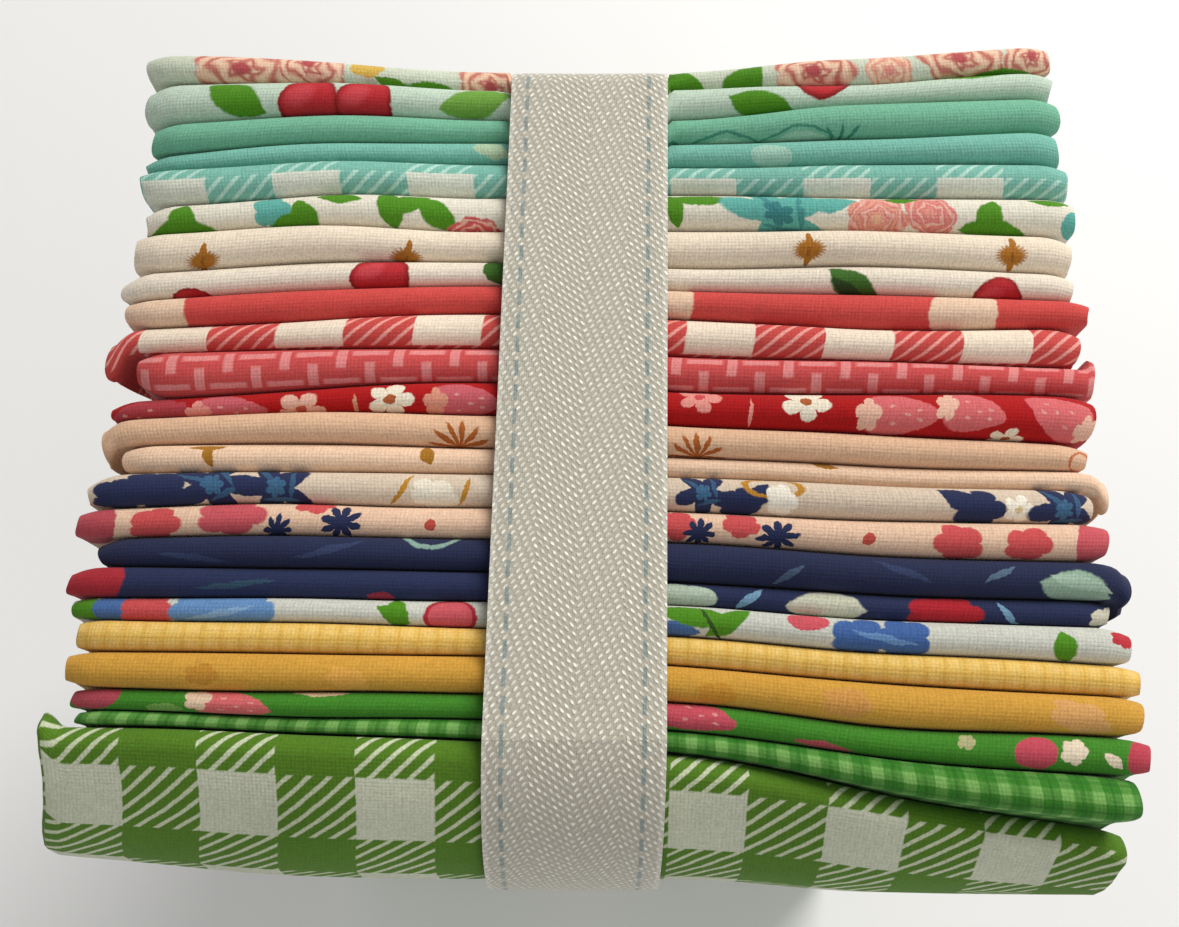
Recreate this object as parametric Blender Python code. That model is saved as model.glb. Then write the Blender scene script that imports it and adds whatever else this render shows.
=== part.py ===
"""A bundle of 24 folded fat quarters, held together by one woven tape.

Each fat quarter is quartered across its 18 inches and then folded in three along its 21 inches,
like a letter, so its section is three thick passes of cloth: the outer pass of the -Y side, the
middle pass tucked inside, and the outer pass of the +Y side, which ends in the cut edge.
The bundle lies on its back edges. X runs along the folds, Y up the stack, and Z out to the
rounded front folds.
"""
import math
from collections import namedtuple

import bmesh
import bpy

MM = 0.001                     # the sizes below are in millimetres

# Driving sizes of the stack
DEPTH = 178.0                  # back edges to front folds: a third of the 21 inch length
SHEET_GAP = 0.3                # between two fat quarters, and between a fat quarter and the tape
PASS_GAP = 0.3                 # between the passes inside one fat quarter
USUAL_THICKNESS = 3.8          # a fat quarter thinner than this sits deeper at the front
SET_BACK_RATE = 0.8            # how much deeper, for each millimetre
MOST_PROUD = 0.5
MOST_SET_BACK = 1.6
END_DROP = 0.8                 # the front folds fall away a little at both ends

# Places along X where the folds are measured: two ends, two between, and the tape's two edges
STATIONS = (-50.0, -33.0, -12.0, 10.5, 33.0, 52.0)
PINCHED = (2, 3)               # stations where the tape draws the cloth in
PINCH_FRONT = 1.5
PINCH_BACK = 1.3

# Outer faces of the whole stack at each station
TOP_FACE = (54.8, 54.1, 52.8, 52.8, 54.3, 55.5)
BOTTOM_FACE = (-41.5, -43.6, -44.9, -44.9, -46.3, -46.5)
SHOULDER_RADIUS = 20.0         # the lowest fat quarter rounds over the bottom front edge
SHOULDER_RISE = 0.7            # top of that round, above DEPTH
CREST_THICKNESS = 3.8          # its front fold, where it meets the shoulder
OVERHANG_ROOM = 0.4            # left above it, where the fat quarter above leans over

# Depths below DEPTH at which the even body of the stack has leaned over to the uneven front
LEVELS = (30.0, 19.0, 11.0, 5.0)
LEAN = (0.0, 0.3, 0.75, 1.0)
LEAST_STEP = 0.9               # least height left between a level and the front fold
TUCK_STEP = 0.45               # the tucked pass ends this far above the last level

# The tape
TAPE_WIDTH = 19.5
TAPE_THICKNESS = 1.0
TAPE_X_TOP = 0.1               # middle of the tape at the top face and at the bottom face
TAPE_X_BOTTOM = -1.6
TOP_CORNER = 1.4               # the tape's bend over the top front edge
SHOULDER_STEPS = 7             # flats along its bend over the shoulder
CORNER_STEPS = 4               # and at its other bends

FOLD_STEPS = 6                 # flats round the outside of a front fold
INNER_STEPS = 3                # and round its inside
BACK_FLAT = (0.4, 1.6)         # the back fold's flat underside, in bends from its -Y face
SHARP_ANGLE = 50.0             # edges sharper than this many degrees are not shaded smooth

Quarter = namedtuple("Quarter", "name left right thickness colour")

# From the +Y side down: both ends along X, thickness of the front fold at each station, colour
QUARTERS = (
    Quarter("24_roses", -55.5, 57.5, (4.6, 3.6, 3.6, 3.0, 3.8, 3.7), (0.62, 0.72, 0.64)),
    Quarter("23_cherries_aqua", -55.1, 57.7, (5.4, 4.6, 3.8, 4.1, 3.7, 3.6), (0.55, 0.72, 0.65)),
    Quarter("22_mint", -53.7, 58.0, (3.7, 3.8, 3.5, 3.9, 4.4, 5.0), (0.20, 0.50, 0.40)),
    Quarter("21_aqua", -54.5, 57.4, (3.1, 3.0, 2.9, 3.1, 3.7, 4.3), (0.22, 0.52, 0.46)),
    Quarter("20_gingham_aqua", -54.4, 57.9, (4.8, 4.5, 4.6, 3.8, 4.5, 4.8), (0.40, 0.66, 0.60)),
    Quarter("19_flowers_white", -52.9, 57.9, (3.5, 4.1, 3.8, 4.5, 4.5, 4.9), (0.76, 0.74, 0.66)),
    Quarter("18_bees", -54.2, 57.3, (5.2, 4.9, 4.4, 5.0, 5.0, 4.8), (0.75, 0.66, 0.52)),
    Quarter("17_cherries_white", -55.0, 56.5, (3.6, 3.5, 3.5, 3.5, 3.8, 3.7), (0.76, 0.72, 0.64)),
    Quarter("16_dots_coral", -54.3, 58.7, (3.7, 3.9, 3.6, 3.7, 3.9, 3.8), (0.62, 0.12, 0.12)),
    Quarter("15_gingham_coral", -55.2, 57.7, (3.0, 3.8, 4.2, 4.3, 4.2, 4.5), (0.75, 0.45, 0.40)),
    Quarter("14_plaid_coral", -54.3, 57.9, (5.8, 4.9, 4.0, 4.3, 4.0, 3.6), (0.60, 0.14, 0.15)),
    Quarter("13_strawberries_red", -54.4, 57.5, (2.4, 2.8, 4.1, 4.1, 4.9, 6.0), (0.50, 0.02, 0.03)),
    Quarter("12_daisies_peach", -54.9, 56.2, (3.4, 3.8, 4.0, 3.7, 3.6, 3.1), (0.72, 0.42, 0.28)),
    Quarter("11_gold_peach", -52.5, 56.2, (3.5, 3.3, 3.1, 2.5, 2.4, 2.4), (0.72, 0.44, 0.30)),
    Quarter("10_flowers_navy", -55.3, 55.9, (3.8, 3.9, 4.0, 4.1, 4.2, 3.9), (0.60, 0.54, 0.46)),
    Quarter("09_flowers_coral", -56.3, 57.1, (3.4, 3.6, 3.7, 3.5, 4.1, 4.4), (0.72, 0.42, 0.34)),
    Quarter("08_navy_outline", -54.7, 59.2, (3.4, 3.7, 3.7, 4.6, 4.2, 4.2), (0.02, 0.03, 0.09)),
    Quarter("07_navy_aqua", -56.5, 58.7, (3.3, 3.3, 3.3, 2.6, 2.9, 2.9), (0.03, 0.04, 0.12)),
    Quarter("06_flowers_blue", -55.8, 58.6, (2.6, 2.7, 3.0, 3.5, 3.5, 4.0), (0.55, 0.55, 0.55)),
    Quarter("05_plaid_yellow", -55.0, 59.3, (3.4, 3.4, 3.1, 3.2, 3.4, 3.4), (0.65, 0.35, 0.06)),
    Quarter("04_mustard", -55.6, 58.9, (4.0, 4.0, 4.1, 4.0, 4.5, 4.4), (0.62, 0.31, 0.04)),
    Quarter("03_strawberries_green", -54.6, 58.9, (2.4, 2.6, 2.7, 3.0, 3.3, 3.9), (0.05, 0.22, 0.02)),
    Quarter("02_plaid_green", -55.2, 57.8, (2.4, 2.4, 2.5, 2.6, 3.8, 4.6), (0.06, 0.25, 0.02)),
    Quarter("01_gingham_green", -56.7, 55.6, (CREST_THICKNESS,) * 6, (0.20, 0.34, 0.06)),
)
TAPE_COLOUR = (0.62, 0.60, 0.56)


def remove_old_objects():
    for old in list(bpy.data.objects):
        bpy.data.objects.remove(old, do_unlink=True)


def cloth_material(name, colour):
    material = bpy.data.materials.new(name)
    material.use_nodes = True
    shader = material.node_tree.nodes["Principled BSDF"]
    shader.inputs["Base Color"].default_value = (*colour, 1.0)
    shader.inputs["Roughness"].default_value = 0.85
    shader.inputs["Metallic"].default_value = 0.0
    return material


def along_x(values, x):
    """Value at x on the straight lines between the stations, which run on past both ends."""
    last = len(STATIONS) - 2
    for index in range(last + 1):
        if x <= STATIONS[index + 1] or index == last:
            break
    share = (x - STATIONS[index]) / (STATIONS[index + 1] - STATIONS[index])
    return values[index] + share * (values[index + 1] - values[index])


def lean_at(z):
    """How far, from 0 to 1, the body has leaned over to the front lines at height z."""
    depth = DEPTH - z
    if depth >= LEVELS[0]:
        return 0.0
    for upper, lower, start, end in zip(LEVELS, LEVELS[1:], LEAN, LEAN[1:]):
        if depth >= lower:
            return start + (end - start) * (upper - depth) / (upper - lower)
    return 1.0


def front_lines():
    """Lines between the fat quarters at the front, one value for each station."""
    lines = [TOP_FACE]
    for quarter in QUARTERS:
        lines.append(tuple(y - t for y, t in zip(lines[-1], quarter.thickness)))
    return lines


FRONT_LINES = front_lines()


def line_y(number, x, z):
    """Y of the face between fat quarter number and the one above it, at x and height z."""
    top = along_x(TOP_FACE, x)
    bottom = along_x(BOTTOM_FACE, x)
    body = top + (bottom - top) * number / len(QUARTERS)
    front = along_x(FRONT_LINES[number], x)
    return body + (front - body) * lean_at(z)


def shoulder_y(x, z, pinch):
    """Y of the stack's bottom face, which rounds over towards the front."""
    bottom = along_x(BOTTOM_FACE, x)
    rise = z - (DEPTH + SHOULDER_RISE - pinch - SHOULDER_RADIUS)
    if rise <= 0.0:
        return bottom
    return bottom + SHOULDER_RADIUS - math.sqrt(SHOULDER_RADIUS ** 2 - rise ** 2)


def crest_place(x, middle, radius, pinch):
    """Height of a front fold's round that lies inside the shoulder, and the angle from
    straight up at which the two meet."""
    run = along_x(BOTTOM_FACE, x) + SHOULDER_RADIUS - middle
    centre = DEPTH + SHOULDER_RISE - pinch - SHOULDER_RADIUS
    rise = math.sqrt((SHOULDER_RADIUS - radius) ** 2 - run ** 2)
    return centre + rise, math.atan2(run, rise)


def front_fold(number, x, station):
    """Middle, radius, height and turn, in radians, of a front fold's round at one station."""
    turn = math.pi
    pinch = PINCH_FRONT if station in PINCHED else 0.0
    high = line_y(number, x, DEPTH) - SHEET_GAP / 2
    if number == len(QUARTERS) - 1:
        high -= OVERHANG_ROOM
        low = high - CREST_THICKNESS
        height, lie = crest_place(x, (high + low) / 2, (high - low) / 2, pinch)
        turn = math.pi / 2 + lie
    else:
        low = line_y(number + 1, x, DEPTH) + SHEET_GAP / 2
        thickness = along_x(QUARTERS[number].thickness, x)
        set_back = SET_BACK_RATE * (USUAL_THICKNESS - thickness)
        set_back = min(max(set_back, -MOST_PROUD), MOST_SET_BACK)
        if station in (0, len(STATIONS) - 1):
            set_back += END_DROP
        if station in PINCHED:
            set_back = max(set_back, 0.0)
        height = DEPTH - pinch - set_back - (high - low) / 2
    return (high + low) / 2, (high - low) / 2, height, turn


def round_points(middle, radius, height, turn, steps, progress):
    """Points over a front fold, from its +Y side to its -Y side."""
    points = []
    for step in range(steps + 1):
        angle = turn * step / steps
        y = middle + radius * math.cos(angle)
        points.append((y, height + radius * math.sin(angle), progress + step / steps))
    return points


def quarter_section(number, x, station):
    """Both faces of the folded cloth at one station, as points (y, z, progress).

    The faces run together from the cut edge at the back, up the pass of the +Y side, over the
    front fold, down the pass of the -Y side, round the back fold and up the tucked pass.
    Progress counts along this way, so that points which face each other can be told.
    """
    lowest = number == len(QUARTERS) - 1
    pinch = PINCH_FRONT if station in PINCHED else 0.0
    back = PINCH_BACK if station in PINCHED else 0.0
    middle, radius, height, turn = front_fold(number, x, station)

    def faces(z):
        high = line_y(number, x, z) - SHEET_GAP / 2 - (OVERHANG_ROOM if lowest else 0.0)
        low = shoulder_y(x, z, pinch) if lowest else line_y(number + 1, x, z) + SHEET_GAP / 2
        return low, high, (high - low - 2 * PASS_GAP) / 3

    low, high, cloth = faces(back)
    bend = cloth + PASS_GAP / 2
    heights = [back + bend]
    heights += [min(DEPTH - level, height - LEAST_STEP) for level in LEVELS]
    sides = [(z, *faces(z)) for z in heights]
    front_cloth = (2 * radius - 2 * PASS_GAP) / 3
    share = TUCK_STEP / (height - heights[-1])
    tuck = heights[-1] + TUCK_STEP
    tuck_low = sides[-1][1] + share * (middle - radius - sides[-1][1])
    tuck_cloth = sides[-1][3] + share * (front_cloth - sides[-1][3])

    count = len(sides)
    rising = list(enumerate(sides))
    falling = [(count - 1 - k, side) for k, side in reversed(rising)]
    fold = count + 1
    down = fold + 2
    up = down + count
    outer = [(high, back, 0)]
    outer += [(h, z, 1 + k) for k, (z, l, h, c) in rising]
    outer += round_points(middle, radius, height, turn, FOLD_STEPS, fold)
    outer += [(l, z, down + k) for k, (z, l, h, c) in falling]
    outer += [(low + BACK_FLAT[0] * bend, back, up - 0.6), (low + BACK_FLAT[1] * bend, back, up - 0.4)]
    outer += [(l + 2 * c + PASS_GAP, z, up + k) for k, (z, l, h, c) in rising]
    outer += [(tuck_low + 2 * tuck_cloth + PASS_GAP, tuck, up + count)]
    inner = [(high - cloth, back, 0)]
    inner += [(h - c, z, 1 + k) for k, (z, l, h, c) in rising]
    inner += round_points(middle, radius - front_cloth, height, turn, INNER_STEPS, fold)
    inner += [(l + c, z, down + k) for k, (z, l, h, c) in falling]
    inner += [(l + c + PASS_GAP, z, up + k - 0.1) for k, (z, l, h, c) in rising]
    inner += [(tuck_low + tuck_cloth + PASS_GAP, tuck, up + count)]
    return outer, inner


def end_triangles(outer, inner):
    """Triangles between the two faces of a section, by index into outer + reversed(inner)."""
    last = len(outer) + len(inner) - 1
    triangles = []
    i = j = 0
    while i < len(outer) - 1 or j < len(inner) - 1:
        at_end = j == len(inner) - 1
        if at_end or (i < len(outer) - 1 and outer[i + 1][2] <= inner[j + 1][2]):
            triangles.append((i, i + 1, last - j))
            i += 1
        else:
            triangles.append((i, last - j - 1, last - j))
            j += 1
    return triangles


def tape_outline(offset):
    """Loop round the drawn-in stack, held off from the cloth by offset, as points (y, z)."""
    top = TOP_FACE[PINCHED[0]]
    bottom = BOTTOM_FACE[PINCHED[0]]
    front = DEPTH - PINCH_FRONT
    round_y = bottom + SHOULDER_RADIUS
    round_z = front + SHOULDER_RISE - SHOULDER_RADIUS
    reach = SHOULDER_RADIUS + offset
    start = math.acos((front + offset - round_z) / reach)
    points = []

    def arc(y, z, radius, first, last, steps):
        for step in range(steps + 1):
            angle = first + (last - first) * step / steps
            points.append((y - radius * math.sin(angle), z + radius * math.cos(angle)))

    turns = [math.pi / 2 * count for count in range(1, 5)]
    arc(round_y, round_z, reach, start, turns[0], SHOULDER_STEPS)
    arc(bottom, PINCH_BACK, offset, turns[0], turns[1], CORNER_STEPS)
    arc(top, PINCH_BACK, offset, turns[1], turns[2], CORNER_STEPS)
    arc(top - TOP_CORNER, front - TOP_CORNER, TOP_CORNER + offset, turns[2], turns[3], CORNER_STEPS)
    return points


def tape_rings():
    """Four loops, two for each edge of the tape."""
    top = TOP_FACE[PINCHED[0]]
    bottom = BOTTOM_FACE[PINCHED[0]]
    near = SHEET_GAP
    far = SHEET_GAP + TAPE_THICKNESS
    rings = []
    for side, offset in ((-1, near), (-1, far), (1, far), (1, near)):
        ring = []
        for y, z in tape_outline(offset):
            share = min(max((y - bottom) / (top - bottom), 0.0), 1.0)
            middle = TAPE_X_BOTTOM + (TAPE_X_TOP - TAPE_X_BOTTOM) * share
            ring.append((middle + side * TAPE_WIDTH / 2, y, z))
        rings.append(ring)
    return rings


def quarter_rings(number):
    """Sections of one fat quarter from its left end to its right end, and the ends' faces."""
    quarter = QUARTERS[number]
    places = (quarter.left, *STATIONS[1:-1], quarter.right)
    rings = []
    for station, x in enumerate(places):
        outer, inner = quarter_section(number, x, station)
        rings.append([(x, y, z) for y, z, progress in outer + inner[::-1]])
    return rings, end_triangles(outer, inner)


def loft(name, rings, caps, material, collection, centre):
    """Solid through closed rings, with caps at both ends, or joined end to end without them.

    Each four-sided face is parted along the diagonal that rises with X, so that two cloths
    that lie together are parted alike.
    """
    form = bmesh.new()
    rows = [[form.verts.new([(value - middle) * MM for value, middle in zip(point, centre)])
             for point in ring] for ring in rings]
    pairs = list(zip(rows, rows[1:]))
    if not caps:
        pairs.append((rows[-1], rows[0]))
    for row, following in pairs:
        for index in range(len(row)):
            after = (index + 1) % len(row)
            if row[after].co.z > row[index].co.z:
                form.faces.new((row[index], following[index], following[after]))
                form.faces.new((row[index], following[after], row[after]))
            else:
                form.faces.new((row[index], following[index], row[after]))
                form.faces.new((following[index], following[after], row[after]))
    for row in (rows[0], rows[-1]):
        for corners in caps:
            form.faces.new([row[index] for index in corners])
    bmesh.ops.recalc_face_normals(form, faces=form.faces)
    mesh = bpy.data.meshes.new(name)
    form.to_mesh(mesh)
    form.free()
    mesh.materials.append(material)
    mesh.shade_smooth()
    mesh.set_sharp_from_angle(angle=math.radians(SHARP_ANGLE))
    made = bpy.data.objects.new(name, mesh)
    collection.objects.link(made)
    return made


def main():
    remove_old_objects()
    collection = bpy.data.collections.new("fat_quarter_bundle")
    bpy.context.scene.collection.children.link(collection)
    stack = [quarter_rings(number) for number in range(len(QUARTERS))]
    band = tape_rings()
    points = [point for rings, caps in stack for ring in rings for point in ring]
    points += [point for ring in band for point in ring]
    centre = [(min(values) + max(values)) / 2 for values in zip(*points)]
    centre[2] = 0.0
    for quarter, (rings, caps) in zip(QUARTERS, stack):
        name = "quarter_" + quarter.name
        loft(name, rings, caps, cloth_material(name, quarter.colour), collection, centre)
    loft("tape", band, (), cloth_material("tape", TAPE_COLOUR), collection, centre)


main()
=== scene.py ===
"""Looks of a bundle of 24 folded fat quarters of printed quilting cotton and its woven tape.

Each fat quarter is one real sheet, 457 x 533 mm. It is quartered across its width, so four
plies lie on each other, and then folded in three along its length. X runs along the folds,
Y up the stack and Z out to the rounded front folds. Sizes are in millimetres up to the mesh.
"""
import math
from collections import namedtuple

import bpy
import numpy as np
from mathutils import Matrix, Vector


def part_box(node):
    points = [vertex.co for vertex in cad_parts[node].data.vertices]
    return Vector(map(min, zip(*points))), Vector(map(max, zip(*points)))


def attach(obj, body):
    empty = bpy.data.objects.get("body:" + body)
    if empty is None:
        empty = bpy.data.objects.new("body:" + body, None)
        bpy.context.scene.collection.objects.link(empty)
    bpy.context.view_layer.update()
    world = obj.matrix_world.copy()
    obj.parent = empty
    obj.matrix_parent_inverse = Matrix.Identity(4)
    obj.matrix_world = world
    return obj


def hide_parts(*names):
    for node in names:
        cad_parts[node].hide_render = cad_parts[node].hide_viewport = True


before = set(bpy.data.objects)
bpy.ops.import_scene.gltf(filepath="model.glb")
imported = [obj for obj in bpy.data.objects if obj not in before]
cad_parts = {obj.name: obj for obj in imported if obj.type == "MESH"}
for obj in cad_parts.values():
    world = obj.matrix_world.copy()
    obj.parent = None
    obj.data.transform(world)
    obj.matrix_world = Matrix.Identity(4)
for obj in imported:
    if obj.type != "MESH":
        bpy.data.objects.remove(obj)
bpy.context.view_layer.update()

MM = 0.001

# The photo's frame and the place it was taken from
IMAGE_WIDTH = 1179
FOCAL_PIXELS = 1200.0
SENSOR_WIDTH = 36.0
CAMERA_TILT = math.radians(17.3)           # off the normal of the front face
CAMERA_DISTANCE = 134.7
CAMERA_TARGET = (-1.3, -4.6, 178.0)
CAMERA_Y = CAMERA_TARGET[1] - CAMERA_DISTANCE * math.sin(CAMERA_TILT)
CAMERA_RISE = CAMERA_DISTANCE * math.cos(CAMERA_TILT)

# The stack, on the driving sizes of its solids
DEPTH = 178.0
SHEET_GAP = 0.12
PASS_GAP = 0.12
USUAL_THICKNESS = 3.8
SET_BACK_RATE = 0.8
MOST_PROUD = 0.5
MOST_SET_BACK = 1.6
STATIONS = (-50.0, -33.0, -12.0, 10.5, 33.0, 52.0)
TOP_FACE = (54.8, 54.1, 52.8, 52.8, 54.3, 55.5)
BOTTOM_FACE = (-41.5, -43.6, -44.9, -44.9, -46.3, -46.5)
PINCH_FROM = (-33.0, 33.0)                 # the tape draws the cloth in between these places
PINCH_FULL = (-12.0, 10.5)
PINCH_FRONT = 1.5
PINCH_BACK = 1.3
SHOULDER_RADIUS = 20.0
SHOULDER_RISE = 0.7
SHOULDER_REACH = 0.98                      # of the radius, where the rounding ends
OVERHANG_ROOM = 0.1
FLARE = 0.06                               # how far the lowest one spreads under its fold:
FLARE_GROWS = (110.0, 150.0)               # more and more between these heights,
FLARE_ENDS = (162.0, 176.0)                # and less again between these
BOTTOM_SAG = (1.5, 0.9, 0.0, 0.0, 0.0, 0.0)
TOP_SHIFT = (-0.55, -0.5, 1.2, 1.2, 0.0, 0.1)
DENT = 1.5                                 # how far the tape presses the top of the stack in
DENT_SPREAD = 5                            # over this many fat quarters
STEP_FROM = -0.25                          # where the cloth steps up, past the edge of the tape
STEP_TO = 0.55
LEVELS = (30.0, 19.0, 11.0, 5.0)
LEAN = (0.0, 0.3, 0.75, 1.0)
RIPPLE_FRONT = 0.17                        # unevenness of the faces at the front folds,
RIPPLE_DEEP = 0.24                         # and further back
RIPPLE_HELD = 0.75                         # share of it that the tape presses flat
FOLD_RIPPLE = 0.28                         # unevenness of the front folds' heights
END_SET_BACK = 1.5                         # how far a front fold's ends fall back

# The tape
TAPE_WIDTH = 19.5
TAPE_NEAR = 0.3                            # its inner face, off the cloth
TAPE_FAR = 1.3                             # its outer face
TAPE_NEAR_ROOM = 0.05                      # its mesh keeps this far inside those two faces
TAPE_FAR_ROOM = 0.15
TAPE_WOBBLE = 0.06                         # of its edges
TAPE_EDGE = 0.86                           # share of its half width where its edges start to
TAPE_EDGE_DROP = 0.12                      # come down by this much
TAPE_X_TOP = 0.1
TAPE_X_BOTTOM = -1.9
TOP_CORNER = 1.4

# One cloth
CUT_WIDTH = 457.0
PLIES = 4
PLY_THICKNESS = 0.27
PLY_SHARE = 0.20                           # of a pass, where the pass is too thin for that
THREAD = 0.425                             # pitch of the weave, about 60 an inch
END_ROOM = 0.35                            # for the sway of its ends
END_REACH = 4.6                            # how far in from its ends a front fold is rounded off
SWAY = (0.22, 0.16)                        # of its ends, slow and fast
LOOP_THICKNESS = 1.4                       # of the thickest pass its side folds are drawn for

# From the +Y side down: name, ground colour, ends along X, thickness of the front fold at each
# station, and how much its ends are pressed in: left one from above and below, then right one
QUARTER_TABLE = """
    24_roses C6CDB8  -56.0 58.9  4.6 3.6 2.2 2.1 3.8 3.7  0.3 0.9 0.2 0.6
    23_cherries_aqua B9CBB8  -55.5 58.7  5.7 4.6 4.3 4.5 3.25 3.6  1.4 0.7 0.5 0.5
    22_mint 70AE90  -54.4 58.8  3.9 3.8 3.25 3.4 4.85 5.0  0.5 0.4 0.8 0.4
    21_aqua 74B2A1  -55.5 58.2  2.3 3.0 3.05 3.4 3.7 4.3  0.6 0.3 0.5 0.4
    20_gingham_aqua D1D5C5  -55.2 58.9  4.9 4.5 4.7 3.65 4.5 4.8  0.4 2.0 0.6 0.8
    19_flowers_white DBD5C4  -54.4 59.2  3.85 4.1 4.7 4.9 4.5 4.9  1.3 0.3 0.5 0.8
    18_bees E2D3BD  -55.0 58.2  5.05 4.9 4.05 5.1 4.65 4.8  0.4 1.0 0.9 0.8
    17_cherries_white DFD3C1  -56.0 58.1  3.6 3.5 3.25 3.05 3.65 3.7  1.7 0.2 0.5 0.4
    16_dots_coral C64540  -55.4 59.7  3.7 3.9 3.6 3.65 4.4 3.8  0.3 1.3 0.4 1.2
    15_gingham_coral E6D5C0  -57.0 57.6  3.0 3.8 4.45 4.8 4.2 4.5  2.0 0.0 0.8 0.8
    14_plaid_coral C04847  -52.8 59.5  5.8 4.9 4.35 4.5 4.0 3.6  1.2 2.4 0.0 0.5
    13_strawberries_red A6080B  -56.2 58.2  2.4 2.8 4.1 4.25 4.9 6.0  1.0 0.2 0.7 1.5
    12_daisies_peach D4AD8D  -56.2 57.3  3.4 3.8 4.0 3.7 3.6 3.1  0.5 0.0 0.5 0.6
    11_gold_peach E2C0A3  -53.5 59.2  3.5 3.3 3.1 2.5 2.4 2.4  0.4 0.5 0.4 0.0
    10_flowers_navy CCBAA5  -57.0 56.9  3.8 3.9 4.0 4.1 4.2 3.9  1.6 0.8 0.5 0.6
    09_flowers_coral DBB89D  -58.1 57.9  3.4 3.6 3.7 3.5 4.1 4.4  0.6 0.4 0.3 1.1
    08_navy_outline 1F2645  -55.0 59.6  3.4 3.7 3.7 4.6 4.2 4.2  0.7 0.4 0.8 0.0
    07_navy_aqua 212A4C  -58.2 57.7  3.3 3.3 3.3 2.6 2.9 2.9  1.1 0.3 0.2 0.8
    06_flowers_blue C2C3B8  -57.6 59.0  2.6 2.7 3.0 3.5 3.5 4.0  0.3 0.4 0.8 0.5
    05_plaid_yellow DBB45A  -56.6 59.9  3.4 3.4 3.1 3.2 3.4 3.4  0.4 0.5 0.4 0.5
    04_mustard C59338  -57.1 59.2  4.0 4.0 4.1 4.0 4.5 4.4  0.5 0.8 0.4 0.9
    03_strawberries_green 3C7E20  -56.6 59.6  2.4 2.6 2.7 3.0 3.3 3.9  0.3 0.3 0.5 0.8
    02_plaid_green 30741B  -55.9 57.8  1.6 1.7 2.1 2.3 3.5 4.7  0.3 0.2 0.3 0.9
    01_gingham_green C4C7B0  -59.0 58.4  3.8 3.8 3.8 3.8 3.8 3.8  0.0 0.0 0.5 0.0
"""

Quarter = namedtuple("Quarter", "name ground left right thickness squeeze")


def read_quarter(row):
    """One row of the table above."""
    name, ground, *words = row.split()
    numbers = [float(word) for word in words]
    return Quarter(name, ground, *numbers[:2], tuple(numbers[2:8]), tuple(numbers[8:]))


QUARTERS = tuple(read_quarter(row) for row in QUARTER_TABLE.strip().splitlines())
LOWEST = len(QUARTERS) - 1
CREST_THICKNESS = QUARTERS[LOWEST].thickness[0]

# Ends that lie down over the next fat quarter, or up beside the one before it
Hang = namedtuple("Hang", "side face amount reach")
HANGS = {
    "15_gingham_coral": Hang("left", "down", 3.2, 3.4),
    "14_plaid_coral": Hang("right", "up", 2.4, 2.1),
    "12_daisies_peach": Hang("left", "down", 2.2, 2.5),
    "11_gold_peach": Hang("right", "down", 3.3, 2.3),
    "08_navy_outline": Hang("right", "down", 2.6, 2.0),
    "01_gingham_green": Hang("left", "up", 1.9, 2.8),
}

# How far the print of a ruled cloth lies off its fold at each station
PRINT_SKEW = {
    "20_gingham_aqua": (0.0, 0.0, 0.0, -0.4, -0.5, -0.5),
    "15_gingham_coral": (0.7, 0.5, 0.2, 0.0, 0.0, 0.0),
    "01_gingham_green": (2.0, 1.7, 1.6, 2.4, 4.3, 4.5),
}

# The tables above are measured from the tape and the folds; the frame is centred on its box
SOLID_LEFT = -56.7
CENTRE_X = SOLID_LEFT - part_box("quarter_" + QUARTERS[LOWEST].name)[0][0] / MM
CENTRE_Y = TOP_FACE[2] + TAPE_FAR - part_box("tape")[1][1] / MM

# Rows of the mesh, as depths below a front fold
PASS_DEPTHS = (176.0, 164.0, 146.0, 126.0, 106.0, 86.0, 68.0, 52.0, 40.0, 31.0, 25.0, 20.0, 15.5,
               11.5, 8.0, 5.0, 2.5, 0.9)
TUCK_DEPTHS = PASS_DEPTHS[1:-1]
FOLD_STEPS = 12
SHOULDER_ROWS = 3
BACK_STEPS = 6
LOOP_STEPS = 4
END_COLUMNS = (0.0, 0.35, 0.8, 1.4, 2.2, 3.2, 4.6)
INNER_END_COLUMNS = (0.0, 0.8, 2.2, 4.6)
OUTER_COLUMNS = 40
INNER_COLUMNS = 13
TOP_INNER_COLUMNS = 26                     # the uppermost one bends most beside the tape
TAPE_COLUMNS = 26
TAPE_STEP = 2.0
SHARP_ANGLE = math.radians(55.0)


def smooth_curve(knots, values, x):
    """Smooth curve through the values at the knots, which doesn't overshoot them and runs
    on straight past both ends."""
    knots = np.asarray(knots, float)
    values = np.asarray(values, float)
    x = np.asarray(x, float)
    steps = np.diff(knots)
    slopes = np.diff(values) / steps
    before, after = slopes[:-1], slopes[1:]
    turning = before * after <= 0.0
    total = np.where(turning, 1.0, before + after)
    bends = np.where(turning, 0.0, 2 * before * after / total)
    tangents = np.concatenate((slopes[:1], bends, slopes[-1:]))
    index = np.clip(np.searchsorted(knots, x) - 1, 0, len(steps) - 1)
    width = steps[index]
    share = np.clip((x - knots[index]) / width, 0.0, 1.0)
    start, end = values[index], values[index + 1]
    ease = share * share * (3 - 2 * share)
    bend_in = tangents[index] * width * share * (1 - share) ** 2
    bend_out = tangents[index + 1] * width * share ** 2 * (1 - share)
    beyond = x - np.clip(x, knots[0], knots[-1])
    run_on = beyond * np.where(beyond < 0, tangents[0], tangents[-1])
    return start + (end - start) * ease + bend_in - bend_out + run_on


def ease_between(low, high, x):
    """0 up to low, 1 from high on, smooth between."""
    share = np.clip((np.asarray(x, float) - low) / (high - low), 0.0, 1.0)
    return share * share * (3 - 2 * share)


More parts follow.
